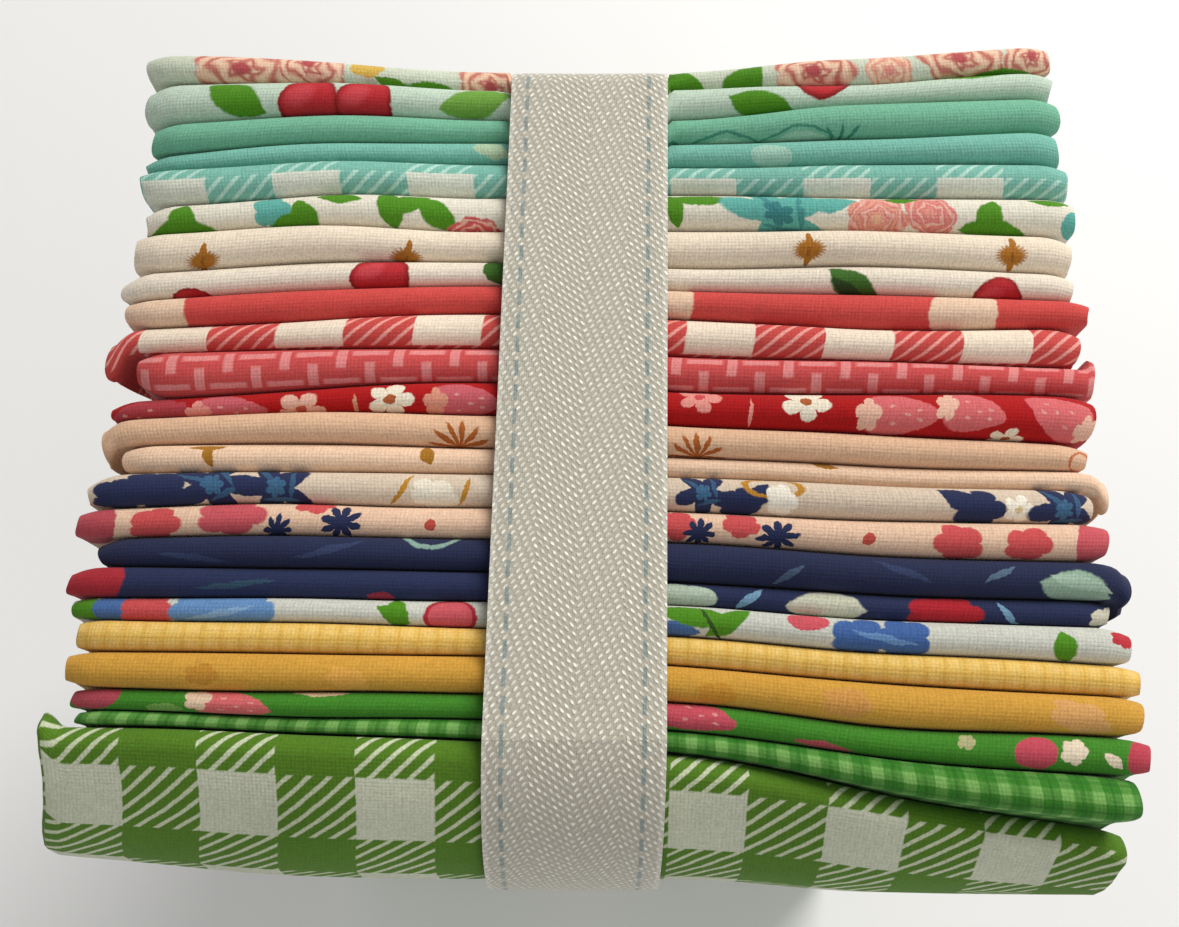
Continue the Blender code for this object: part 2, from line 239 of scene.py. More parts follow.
def pinch_at(x):
    """1 under the tape, 0 where the cloth is free of it."""
    left = ease_between(PINCH_FROM[0], PINCH_FULL[0], x)
    right = 1.0 - ease_between(PINCH_FULL[1], PINCH_FROM[1], x)
    return np.minimum(left, right)


def ripple(place, sizes, lengths, phases):
    """Sum of sines with the given sizes, lengths over two pi and phases."""
    return sum(size * np.sin(place / length + phase)
               for size, length, phase in zip(sizes, lengths, phases))


def front_lines():
    """Y of the front folds' faces at each station, from the top of the stack down."""
    lines = [TOP_FACE]
    for quarter in QUARTERS:
        lines.append(tuple(y - t for y, t in zip(lines[-1], quarter.thickness)))
    return lines


FRONT_LINES = front_lines()
random = np.random.default_rng(24)
WAVE_PHASES = random.uniform(0.0, 2 * math.pi, (len(QUARTERS) + 1, 6))
EDGE_PHASES = random.uniform(0.0, 2 * math.pi, (len(QUARTERS), 8))


def lean_at(z):
    """How far the faces follow the front folds: 0 deep in the stack, 1 at the front."""
    knots = [-DEPTH] + [-level for level in LEVELS] + [0.0]
    values = [LEAN[0]] + list(LEAN) + [LEAN[-1]]
    return smooth_curve(knots, values, z - DEPTH)


def wave_at(number, x, z):
    """Small soft unevenness of the face between two fat quarters."""
    first, second = WAVE_PHASES[number][2:4]
    along = ripple(x, (0.5, 0.5), (5.6, 9.1), WAVE_PHASES[number][:2])
    deep = 0.5 * np.sin(x / 13.0 + z / 21.0 + first) + 0.5 * np.sin(x / 17.0 - z / 16.0 + second)
    lean = lean_at(z)
    free = 1.0 - RIPPLE_HELD * pinch_at(x)
    wave = free * (RIPPLE_FRONT * along * lean + RIPPLE_DEEP * deep * (1.0 - lean))
    if number in (0, len(QUARTERS)):
        wave = np.abs(wave) * (-1.0 if number == 0 else 1.0)
    return wave


def top_shift(number, x):
    """How far a face is off its line: swollen beside the tape, and pressed in under it."""
    away = np.abs(x - TAPE_X_TOP) - TAPE_WIDTH / 2
    under = 1.0 - ease_between(STEP_FROM, STEP_TO, away)
    shift = -DENT * under * max(0.0, 1.0 - number / DENT_SPREAD)
    if number == 0:
        shift = shift + smooth_curve(STATIONS, TOP_SHIFT, x) * (1.0 - under)
    return shift


def line_y(number, x, z):
    """Y of the face between fat quarter number and the one above it."""
    top = smooth_curve(STATIONS, TOP_FACE, x)
    bottom = smooth_curve(STATIONS, BOTTOM_FACE, x)
    body = top + (bottom - top) * number / len(QUARTERS)
    front = smooth_curve(STATIONS, FRONT_LINES[number], x)
    return body + (front - body) * lean_at(z) + wave_at(number, x, z) + top_shift(number, x)


def bottom_face(x):
    """Y of the stack's bottom face, with its sag, where it's flat."""
    return smooth_curve(STATIONS, BOTTOM_FACE, x) - smooth_curve(STATIONS, BOTTOM_SAG, x)


def shoulder_y(x, z):
    """Y of the stack's bottom face, which rounds over towards the front."""
    bottom = bottom_face(x)
    start = DEPTH + SHOULDER_RISE - PINCH_FRONT * pinch_at(x) - SHOULDER_RADIUS
    rise = np.clip(z - start, 0.0, SHOULDER_RADIUS * SHOULDER_REACH)
    return bottom + SHOULDER_RADIUS - np.sqrt(SHOULDER_RADIUS ** 2 - rise ** 2)


def end_share(number, x):
    """How near a place is to the left and to the right end: 1 at the end, 0 past END_REACH."""
    quarter = QUARTERS[number]
    left = np.clip(1.0 - (x - quarter.left) / END_REACH, 0.0, 1.0) ** 2
    right = np.clip(1.0 - (quarter.right - x) / END_REACH, 0.0, 1.0) ** 2
    return left, right


def faces_at(number, x, z):
    """Y of the lower and of the upper face of one fat quarter."""
    high = line_y(number, x, z) - SHEET_GAP / 2
    if number == LOWEST:
        high = high - OVERHANG_ROOM
        low = shoulder_y(x, z)
    else:
        low = line_y(number + 1, x, z) + SHEET_GAP / 2
    left, right = end_share(number, x)
    squeeze = QUARTERS[number].squeeze
    lean = lean_at(z)
    high = high - lean * (left * squeeze[0] + right * squeeze[2])
    low = low + lean * (left * squeeze[1] + right * squeeze[3])
    hang = HANGS.get(QUARTERS[number].name)
    if hang:
        quarter = QUARTERS[number]
        away = x - quarter.left if hang.side == "left" else quarter.right - x
        moved = lean * hang.amount * (1.0 - ease_between(0.0, hang.reach, away))
        if hang.face == "down":
            low = low - moved
        else:
            high = high + moved
    return low, high


def front_fold(number, x):
    """Middle, radius, height and turn of a front fold's round along x."""
    low, high = faces_at(number, x, np.full_like(x, DEPTH))
    pinch = pinch_at(x)
    turn = np.full_like(x, math.pi)
    if number == LOWEST:
        radius = np.full_like(x, CREST_THICKNESS / 2)
        middle = high - radius
        run = bottom_face(x) + SHOULDER_RADIUS - middle
        centre = DEPTH + SHOULDER_RISE - PINCH_FRONT * pinch - SHOULDER_RADIUS
        rise = np.sqrt((SHOULDER_RADIUS - radius) ** 2 - run ** 2)
        height = centre + rise
        turn = math.pi / 2 + np.arctan2(run, rise)
    else:
        middle = (high + low) / 2
        radius = (high - low) / 2
        thickness = smooth_curve(STATIONS, QUARTERS[number].thickness, x)
        thinner = SET_BACK_RATE * (USUAL_THICKNESS - thickness)
        set_back = np.clip(thinner, -MOST_PROUD, MOST_SET_BACK)
        wave = ripple(x, (0.5, 0.5), (7.3, 11.9), WAVE_PHASES[number][4:])
        set_back = set_back + FOLD_RIPPLE * wave * (1.0 - pinch)
        set_back = set_back + pinch * (np.maximum(set_back, 0.0) - set_back)
        left, right = end_share(number, x)
        set_back = set_back + END_SET_BACK * (left + right)
        height = DEPTH - PINCH_FRONT * pinch - set_back - radius
    return middle, radius, height, turn


def cloth_section(number, x_rows):
    """Outer and inner face of the folded pass in each row of the mesh, as arrays (y, z).

    The rows run from the cut edge at the back, up the pass of the +Y side, over the front
    fold, down the pass of the -Y side, round the back fold and up the tucked pass.
    """
    outer = []
    inner = []
    rows = iter(x_rows)

    def add(outer_y, outer_z, inner_y, inner_z):
        """Adds one row of the mesh."""
        outer.append(np.stack((outer_y, outer_z), axis=-1))
        inner.append(np.stack((inner_y, inner_z), axis=-1))

    def pass_parts(x, depth):
        """Z, lower and upper face, and thickness of one pass, at a depth below the fold."""
        height = front_fold(number, x)[2]
        back = PINCH_BACK * pinch_at(x)
        low, high = faces_at(number, x, back)
        bend = (high - low - 2 * PASS_GAP) / 3 + PASS_GAP / 2
        z = np.maximum(height - depth, back + bend)
        low, high = faces_at(number, x, z)
        return z, low, high, (high - low - 2 * PASS_GAP) / 3

    x = next(rows)
    high, cloth = pass_parts(x, DEPTH)[2:]
    back = PINCH_BACK * pinch_at(x)
    add(high, back, high - cloth, back)
    for depth in PASS_DEPTHS:
        z, low, high, cloth = pass_parts(next(rows), depth)
        add(high, z, high - cloth, z)
    for step in range(FOLD_STEPS + 1):
        middle, radius, height, turn = front_fold(number, next(rows))
        angle = turn * step / FOLD_STEPS
        inside = radius - (2 * radius - 2 * PASS_GAP) / 3
        add(middle + radius * np.cos(angle), height + radius * np.sin(angle),
            middle + inside * np.cos(angle), height + inside * np.sin(angle))
    fold_y, fold_z = inner[-1].T
    for step in range(SHOULDER_ROWS):
        x = next(rows)
        share = (step + 1) / (SHOULDER_ROWS + 1)
        z, low, high, cloth = pass_parts(x, PASS_DEPTHS[-1])
        middle, radius, height, turn = front_fold(number, x)
        top_z = height + radius * np.sin(turn)
        outer_z = top_z + (z - top_z) * share
        if number == LOWEST:
            outer_y = shoulder_y(x, outer_z)
        else:
            outer_y = (middle - radius) + (low - middle + radius) * share
        add(outer_y, outer_z, fold_y + (low + cloth - fold_y) * share,
            fold_z + (z - fold_z) * share)
    for depth in reversed(PASS_DEPTHS):
        z, low, high, cloth = pass_parts(next(rows), depth)
        add(low, z, low + cloth, z)
    for step in range(1, BACK_STEPS):
        z, low, high, cloth = pass_parts(next(rows), DEPTH)
        angle = math.pi * step / BACK_STEPS
        centre = low + cloth + PASS_GAP / 2
        far = cloth + PASS_GAP / 2
        near = PASS_GAP / 2
        add(centre - far * math.cos(angle), z - far * math.sin(angle),
            centre - near * math.cos(angle), z - near * math.sin(angle))
    for depth in (DEPTH,) + TUCK_DEPTHS:
        z, low, high, cloth = pass_parts(next(rows), depth)
        outer_y = low + 2 * cloth + PASS_GAP
        add(outer_y, z, outer_y - cloth, z)
    return np.array(outer), np.array(inner)


ROW_COUNT = (1 + len(PASS_DEPTHS) + FOLD_STEPS + 1 + SHOULDER_ROWS + len(PASS_DEPTHS)
             + BACK_STEPS - 1 + 1 + len(TUCK_DEPTHS))
CREST_ROW = 1 + len(PASS_DEPTHS) + FOLD_STEPS // 2


def spaced(ends, count, marks):
    """Shares of the width, close together near the ends, with one on each of the marks."""
    width = CUT_WIDTH / PLIES
    shares = [distance / width for distance in ends]
    middle = np.linspace(ends[-1] / width, 1.0 - ends[-1] / width, count + 2)[1:-1]
    return np.sort(shares + list(middle) + [1.0 - share for share in shares] + list(marks))


def step_shares(number, left, right, flip):
    """Shares of a ply's width, with the insets left and right, at which the cloth steps up
    beside the tape."""
    if number >= DENT_SPREAD:
        return []
    if flip:
        left, right = right, left
    quarter = QUARTERS[number]
    start = quarter.left + END_ROOM + left
    width = quarter.right - END_ROOM - right - start
    steps = [TAPE_X_TOP + side * (TAPE_WIDTH / 2 + away)
             for side in (-1, 1) for away in (STEP_FROM, STEP_TO)]
    shares = [(step - start) / width for step in steps]
    return [1.0 - share for share in shares] if flip else shares


def build_columns(number, flip):
    """Columns of the mesh, along the width of the cloth as it was cut: share along X, insets
    of both ends, place in the pass, facing and how far the column bulges past the end.

    The four plies lie in a pass at centres 1/8, 3/8, 5/8 and 7/8 of its thickness. The path
    starts with a cut edge in the innermost ply, and turns at three side folds.
    """
    ply_share = 1.0 / PLIES
    centres = [ply_share * (ply + 0.5) for ply in range(PLIES)]
    inner = (INNER_END_COLUMNS, TOP_INNER_COLUMNS if number == 0 else INNER_COLUMNS)
    outer = (END_COLUMNS, OUTER_COLUMNS)
    # Each ply: place in the pass, columns, +1 if its right side faces inwards, its X range as
    # insets from the left and right end, and whether it runs to the right
    plies = (
        (3, inner, 1, 0.7, 0.6, True),
        (0, outer, -1, 0.3, 0.6, False),
        (1, inner, 1, 0.3, 1.1, True),
        (2, inner, -1, 1.3, 1.1, False),
    )
    rows = []
    for index, (place, (ends, count), facing, left, right, rising) in enumerate(plies):
        shares = spaced(ends, count, step_shares(number, left, right, flip))
        ordered = shares if rising else shares[::-1]
        for share in ordered:
            rows.append((share, left, right, centres[place], facing, 0.0, 0.0))
        if index == len(plies) - 1:
            break
        following = plies[index + 1][0]
        middle = (centres[place] + centres[following]) / 2
        half = (centres[place] - centres[following]) / 2
        outwards = facing * math.copysign(1.0, half)
        for step in range(1, LOOP_STEPS):
            angle = math.pi * step / LOOP_STEPS
            reach = math.sin(angle) * (1 if rising else -1)
            rows.append((ordered[-1], left, right, middle + half * math.cos(angle),
                         facing * math.cos(angle), abs(half) * reach, outwards * reach))
    table = np.array(rows)
    if flip:
        table[:, 0] = 1.0 - table[:, 0]
        table[:, [1, 2]] = table[:, [2, 1]]
        table[:, [5, 6]] *= -1.0
    return table


def sheet_mesh(name, front, back, flat_place):
    """Closed thin sheet between two grids of points. The cloth map holds each point's place
    on the flat cloth, and the attribute wrong_side is 1 on the unprinted face."""
    rows, columns = front.shape[:2]
    count = rows * columns
    points = np.concatenate((front.reshape(-1, 3), back.reshape(-1, 3)))
    grid = np.arange(count).reshape(rows, columns)
    a, b, c, d = grid[:-1, :-1], grid[:-1, 1:], grid[1:, 1:], grid[1:, :-1]
    face = np.stack((a, b, c, d), axis=-1).reshape(-1, 4)
    reverse = face[:, ::-1] + count
    rim = np.concatenate((grid[0, :], grid[1:, -1], grid[-1, -2::-1], grid[-2:0:-1, 0]))
    following = np.roll(rim, -1)
    edge = np.stack((following, rim, rim + count, following + count), axis=-1)
    quads = np.concatenate((face, reverse, edge))
    corner = points[quads]
    first = np.cross(corner[:, 1] - corner[:, 0], corner[:, 2] - corner[:, 0])
    second = np.cross(corner[:, 2] - corner[:, 0], corner[:, 3] - corner[:, 0])
    volume = np.einsum("ij,ij->", corner[:, 0], first + second)
    if volume < 0:
        quads = quads[:, ::-1]
    mesh = bpy.data.meshes.new(name)
    mesh.vertices.add(len(points))
    mesh.vertices.foreach_set("co", points.ravel())
    mesh.loops.add(quads.size)
    mesh.loops.foreach_set("vertex_index", quads.ravel())
    mesh.polygons.add(len(quads))
    mesh.polygons.foreach_set("loop_start", np.arange(0, quads.size, 4))
    mesh.update(calc_edges=True)
    places = np.concatenate((flat_place.reshape(-1, 2), flat_place.reshape(-1, 2)))
    mesh.uv_layers.new(name="cloth").uv.foreach_set("vector", places[quads.ravel()].ravel())
    wrong = mesh.attributes.new("wrong_side", "FLOAT", "POINT")
    wrong.data.foreach_set("value", np.repeat((0.0, 1.0), count))
    mesh.shade_smooth()
    mesh.set_sharp_from_angle(angle=SHARP_ANGLE)
    mesh.validate()
    made = bpy.data.objects.new(name, mesh)
    bpy.context.scene.collection.objects.link(made)
    return made


def flared(x, z):
    """Places along X of the lowest fat quarter, whose left side spreads under its front fold."""
    grown = ease_between(*FLARE_GROWS, z)
    left_over = 1.0 - ease_between(*FLARE_ENDS, z)
    return np.where(x < 0, x * (1.0 + FLARE * left_over * grown), x)


def fold_quarter(number):
    """Points of both faces of one folded fat quarter, and the table of its columns."""
    quarter = QUARTERS[number]
    flip = number % 2 == 1
    table = build_columns(number, flip)
    share, inset_left, inset_right, centre, facing, bulge, bulge_side = table.T
    phases = EDGE_PHASES[number]
    row = np.arange(ROW_COUNT)[:, None]
    sway_left = ripple(row, SWAY, (4.1, 2.3), phases[:2])
    sway_right = ripple(row, SWAY, (3.7, 2.1), phases[2:4])
    left = quarter.left + END_ROOM + sway_left + inset_left[None, :]
    right = quarter.right - END_ROOM - sway_right - inset_right[None, :]
    x = left + (right - left) * share[None, :]
    outer, inner = cloth_section(number, x)
    thick = np.linalg.norm(inner - outer, axis=-1)
    half_ply = np.minimum(PLY_SHARE / 2, PLY_THICKNESS / 2 / thick)
    loop_size = np.minimum(thick, LOOP_THICKNESS)
    grids = []
    for side in (1.0, -1.0):
        place = centre[None, :] + side * facing[None, :] * half_ply
        y, z = np.moveaxis(outer + (inner - outer) * place[..., None], -1, 0)
        reach = (bulge[None, :] + side * bulge_side[None, :] * half_ply) * loop_size
        spread = flared(x, z) if number == LOWEST else x
        grids.append(np.stack((spread + reach - CENTRE_X, y - CENTRE_Y, z), axis=-1))
    return grids, table


def flat_places(number, front, table):
    """Place of each point on the flat cloth: along X on the outermost ply, and the way from
    the front fold, positive on the -Y side."""
    outermost = np.flatnonzero(np.isclose(table[:, 3], 0.5 / PLIES) & (table[:, 4] == -1))
    order = outermost[np.argsort(front[CREST_ROW, outermost, 0])]
    steps = np.linalg.norm(np.diff(front[:, order, 1:], axis=0), axis=-1)
    run = np.concatenate((np.zeros((1, len(order))), np.cumsum(steps, axis=0)))
    run = run - run[CREST_ROW]
    along = np.empty(front.shape[:2])
    for row in range(front.shape[0]):
        along[row] = np.interp(front[row, :, 0], front[row, order, 0], run[row])
    skew = PRINT_SKEW.get(QUARTERS[number].name)
    if skew:
        along = along + smooth_curve(STATIONS, skew, front[..., 0])
    run_x = front[CREST_ROW, :, 0]
    cut = np.concatenate(([0.0], np.cumsum(np.hypot(np.diff(run_x), np.diff(table[:, 3])))))
    start = outermost[0]
    direction = 1.0 if run_x[outermost[-1]] > run_x[outermost[0]] else -1.0
    across = run_x[start] + direction * (cut - cut[start])
    return np.stack((np.broadcast_to(across, along.shape), along), axis=-1)


def tape_outline(offset):
    """Loop round the drawn-in stack, held off from the cloth by offset, as points (y, z)."""
    top = TOP_FACE[2] - DENT
    bottom = BOTTOM_FACE[2]
    front = DEPTH - PINCH_FRONT
    round_y = bottom + SHOULDER_RADIUS
    round_z = front + SHOULDER_RISE - SHOULDER_RADIUS
    reach = SHOULDER_RADIUS + offset
    start = math.acos((front + offset - round_z) / reach)
    points = []

    def arc(y, z, radius, first, last, steps):
        """Adds the points of one round corner."""
        for step in range(steps + 1):
            angle = first + (last - first) * step / steps
            points.append((y - radius * math.sin(angle), z + radius * math.cos(angle)))

    turns = [math.pi / 2 * count for count in range(1, 5)]
    arc(round_y, round_z, reach, start, turns[0], 22)
    arc(bottom, PINCH_BACK, offset, turns[0], turns[1], 6)
    arc(top, PINCH_BACK, offset, turns[1], turns[2], 6)
    arc(top - TOP_CORNER, front - TOP_CORNER, TOP_CORNER + offset, turns[2], turns[3], 8)
    return points


def tape_mesh():
    """The woven tape as one closed band, with its place map in millimetres of tape."""
    near = np.array(tape_outline(TAPE_NEAR + TAPE_NEAR_ROOM))
    far = np.array(tape_outline(TAPE_FAR - TAPE_FAR_ROOM))
    near = np.vstack((near, near[:1]))
    far = np.vstack((far, far[:1]))
    lengths = np.linalg.norm(np.diff(far, axis=0), axis=1)
    fine_near, fine_far = [], []
    for index, length in enumerate(lengths):
        pieces = max(1, round(length / TAPE_STEP))
        for piece in range(pieces):
            share = piece / pieces
            fine_near.append(near[index] + share * (near[index + 1] - near[index]))
            fine_far.append(far[index] + share * (far[index + 1] - far[index]))
    near = np.array(fine_near + fine_near[:1])
    far = np.array(fine_far + fine_far[:1])
    run = np.concatenate(([0.0], np.cumsum(np.linalg.norm(np.diff(far, axis=0), axis=1))))
    top, bottom = TOP_FACE[2], BOTTOM_FACE[2]
    share = np.clip((far[:, 0] - bottom) / (top - bottom), 0.0, 1.0)
    middle = TAPE_X_BOTTOM + (TAPE_X_TOP - TAPE_X_BOTTOM) * share
    across = np.linspace(-0.5, 0.5, TAPE_COLUMNS)
    grids = []
    for path, lift in ((far, 1.0), (near, 0.0)):
        x = middle[:, None] + across[None, :] * TAPE_WIDTH
        wobble = TAPE_WOBBLE * np.sin(run / 5.1)[:, None] * (2 * across)[None, :] ** 2
        past = np.clip(np.abs(across) * 2 - TAPE_EDGE, 0.0, 1.0)
        edge = TAPE_EDGE_DROP * past / (1.0 - TAPE_EDGE)
        normal = far - near
        normal = normal / np.linalg.norm(normal, axis=1)[:, None]
        rise = lift * (wobble - edge[None, :])
        y = path[:, 0][:, None] + normal[:, 0][:, None] * rise
        z = path[:, 1][:, None] + normal[:, 1][:, None] * rise
        grids.append(np.stack((x - CENTRE_X, y - CENTRE_Y, z), axis=-1))
    flat = np.stack(np.broadcast_arrays((across * TAPE_WIDTH)[None, :], run[:, None]), axis=-1)
    return grids, flat, run[-1]


# ---------------------------------------------------------------- materials

def linear(code):
    """Linear colour of a colour given by its name or as six hexadecimal digits."""
    code = COLOURS.get(code, code)
    parts = [int(code[index:index + 2], 16) / 255 for index in (0, 2, 4)]
    return [part / 12.92 if part <= 0.04045 else ((part + 0.055) / 1.055) ** 2.4 for part in parts]


# The unprinted side, and how much each part of the weave lightens or darkens the print
UNPRINTED = "D6CFC0"
WRONG_SIDE_PALER = 0.45
WEAVE_BASE = 0.955
WEAVE_THREADS = 0.07
WEAVE_CROSSINGS = 0.015
WEAVE_SLUBS = 0.20
WEAVE_SPECKLE = 0.36
WEAVE_CLOUDS = 0.22
WEAVE_RELIEF = 0.00003
DRAWN_WOBBLE = 0.16                        # of the outlines of a drawn print
RULED_WOBBLE = 0.05                        # and of a ruled one
CENTRED = (0.5, 0.5, 0.5)


class Cloth:
    """Material of one cloth, whose print is drawn in the flat cloth's own millimetres."""

    def __init__(self, name, ground, roughness=0.88, sheen=0.05, wobble=DRAWN_WOBBLE):
        """Starts with a plain ground; wobble shakes the outlines of what is drawn on it."""
        self.material = bpy.data.materials.new(name)
        self.material.use_nodes = True
        self.nodes = self.material.node_tree.nodes
        self.links = self.material.node_tree.links
        self.shader = self.nodes["Principled BSDF"]
        self.shader.inputs["Roughness"].default_value = roughness
        self.shader.inputs["Sheen Weight"].default_value = sheen
        self.shader.inputs["Sheen Roughness"].default_value = 0.5
        self.shader.inputs["Specular IOR Level"].default_value = 0.25
        place = self.node("ShaderNodeUVMap")
        place.uv_map = "cloth"
        self.flat = self.vector("MULTIPLY", place.outputs[0], (1000.0, 1000.0, 0.0))
        broad = self.vector("SUBTRACT", self.noise(self.flat, 0.5, 1.0, colour=True), CENTRED)
        fine = self.vector("SUBTRACT", self.noise(self.flat, 2.4, 0.0, colour=True), CENTRED)
        shaken = self.vector("ADD", self.vector("MULTIPLY", broad, (wobble * 3, wobble * 3, 0.0)),
                             self.vector("MULTIPLY", fine, (wobble * 1.2, wobble * 1.2, 0.0)))
        self.place = self.split(self.vector("ADD", self.flat, shaken))
        self.ground = linear(ground)
        self.colour = self.mixed(0.0, self.ground, self.ground)

    def node(self, kind):
        """New node of the given kind."""
        return self.nodes.new(kind)

    def join(self, value, socket):
        """Links a socket to this one, or sets this one to a number or a colour."""
        if isinstance(value, bpy.types.NodeSocket):
            self.links.new(value, socket)
        elif isinstance(value, (list, tuple)) and len(socket.default_value) == 4:
            socket.default_value = (*value, 1.0)
        else:
            socket.default_value = value

    def number(self, operation, *values):
        node = self.node("ShaderNodeMath")
        node.operation = operation
        for value, socket in zip(values, node.inputs):
            self.join(value, socket)
        return node.outputs[0]

    def times(self, first, second):
        return self.number("MULTIPLY", first, second)

    def plus(self, first, second):
        return self.number("ADD", first, second)

    def minus(self, first, second):
        return self.number("SUBTRACT", first, second)

    def size(self, value):
        """The value without its sign."""
        return self.number("ABSOLUTE", value)

    def vector(self, operation, *values):
        node = self.node("ShaderNodeVectorMath")
        node.operation = operation
        for value, socket in zip(values, node.inputs):
            self.join(value, socket)
        return node.outputs[0]

    def split(self, place):
        node = self.node("ShaderNodeSeparateXYZ")
        self.join(place, node.inputs[0])
        return node.outputs[0], node.outputs[1]

    def noise(self, place, scale, detail, colour=False):
        node = self.node("ShaderNodeTexNoise")
        node.noise_dimensions = "2D"
        node.inputs["Scale"].default_value = scale
        node.inputs["Detail"].default_value = detail
        self.join(place, node.inputs["Vector"])
        return node.outputs["Color" if colour else "Fac"]

    def mixed(self, factor, first, second, blend="MIX"):
        node = self.node("ShaderNodeMix")
        node.data_type = "RGBA"
        node.blend_type = blend
        self.join(factor, node.inputs[0])
        self.join(first, node.inputs[6])
        self.join(second, node.inputs[7])
        return node.outputs[2]

    def summed(self, level, *parts):
        """level with each part added in its own strength."""
        for part, strength in parts:
            level = self.number("MULTIPLY_ADD", part, strength, level)
        return level

    def soft(self, value, low, high):
        """1 where value is under low, 0 where it is over high, smooth between."""
        node = self.node("ShaderNodeMapRange")
        node.interpolation_type = "SMOOTHSTEP"
        for index, part in enumerate((value, low, high, 1.0, 0.0)):
            self.join(part, node.inputs[index])
        return node.outputs[0]

    def local(self, place, s, t, width, height, turn=0.0):
        """Place from -1 to 1 across a motif that is turned by turn degrees."""
        x, y = place
        cos = math.cos(math.radians(turn))
        sin = math.sin(math.radians(turn))
        x_start = -(s * cos + t * sin) * 2 / width
        y_start = (s * sin - t * cos) * 2 / height
        if turn:
            x_start = self.number("MULTIPLY_ADD", y, sin * 2 / width, x_start)
            y_start = self.number("MULTIPLY_ADD", x, -sin * 2 / height, y_start)
        return (self.number("MULTIPLY_ADD", x, cos * 2 / width, x_start),
                self.number("MULTIPLY_ADD", y, cos * 2 / height, y_start))

    def tile(self, width, height, drop, shift, first):
        """The repeat's own place: across from -width/2 to width/2, down from first to
        first + height. Each row of repeats is moved along by drop."""
        s, t = self.place
        moved = self.minus(t, shift + first)
        row = self.number("FLOOR", self.number("DIVIDE", moved, height))
        inside = self.minus(moved, self.times(row, height))
        down = self.plus(inside, first)
        slid = self.plus(s, self.times(row, drop))
        return self.number("WRAP", slid, -width / 2, width / 2), down

    def square(self, place):
        """Square of the distance from the middle."""
        x, y = place
        return self.number("MULTIPLY_ADD", x, x, self.times(y, y))

    def dot(self, place, edge=0.05):
        return self.soft(self.square(place), (1.0 - edge) ** 2, (1.0 + edge) ** 2)

    def ring(self, place, thick=0.15):
        away = self.minus(self.number("SQRT", self.square(place)), 1.0 - thick)
        return self.soft(self.size(away), thick * 0.6, thick * 1.3)

    def leaf(self, place, edge=0.10):
        """Pointed at both ends of the local X axis."""
        x, y = place
        side = self.minus(1.0, self.times(x, x))
        return self.soft(self.minus(self.size(y), side), -edge, edge)

    def berry(self, place, edge=0.08):
        """Broad at -Y of its own axes, narrow at +Y."""
        x, y = place
        x = self.number("DIVIDE", x, self.number("MULTIPLY_ADD", y, -0.36, 0.78))
        return self.soft(self.square((x, y)), 1.0 - edge, 1.0 + edge)

    def petals(self, place, count, depth=0.3, sharp=0.6, edge=0.06):
        """Lobes round the middle: broad ones where sharp is small, rays where it is large."""
        x, y = place
        half_turns = self.times(self.number("ARCTAN2", y, x), count / 2)
        swing = self.size(self.number("COSINE", half_turns))
        reach = self.number("MULTIPLY_ADD", self.number("POWER", swing, sharp), depth, 1.0 - depth)
        share = self.number("DIVIDE", self.square(place), self.times(reach, reach))
        return self.soft(share, (1.0 - edge) ** 2, (1.0 + edge) ** 2)

    def whorls(self, place, start):
        """Broken rings of a full bloom's petals."""
        x, y = place
        radius = self.number("SQRT", self.square(place))
        turned = self.number("MULTIPLY_ADD", self.number("ARCTAN2", y, x), 2.5,
                             self.times(radius, 4.0))
        swing = self.size(self.number("COSINE", turned))
        rings = self.number("MULTIPLY_ADD", swing, 0.15, radius)
        return self.band(rings, start, 0.12, 0.34, edge=0.05)

    def box(self, place, edge=0.06):
        x, y = place
        far = self.number("MAXIMUM", self.size(x), self.size(y))
        return self.soft(far, 1.0 - edge, 1.0 + edge)

    def band(self, value, start, width, period, edge=0.10):
        """1 on bands of the given width, one each period, the first from start."""
        moved = self.minus(value, start + width / 2)
        inside = self.number("WRAP", moved, -period / 2, period / 2)
        return self.soft(self.size(inside), width / 2 - edge, width / 2 + edge)

    def paint(self, mask, code, strength=1.0):
        """Prints a colour over what is there already, where mask is above 0."""
        if strength != 1.0:
            mask = self.times(mask, strength)
        self.colour = self.mixed(mask, self.colour, linear(code))

    def show(self, colour, level):
        """Connects colour, darkened or lightened by level, to the shader."""
        grey = self.node("ShaderNodeCombineXYZ")
        for socket in grey.inputs:
            self.links.new(level, socket)
        self.links.new(self.mixed(1.0, colour, grey.outputs[0], blend="MULTIPLY"),
                       self.shader.inputs["Base Color"])

    def bump(self, height, distance):
        """Raises the surface by height, of which 1 stands for distance."""
        node = self.node("ShaderNodeBump")
        node.inputs["Distance"].default_value = distance
        self.links.new(height, node.inputs["Height"])
        self.links.new(node.outputs[0], self.shader.inputs["Normal"])

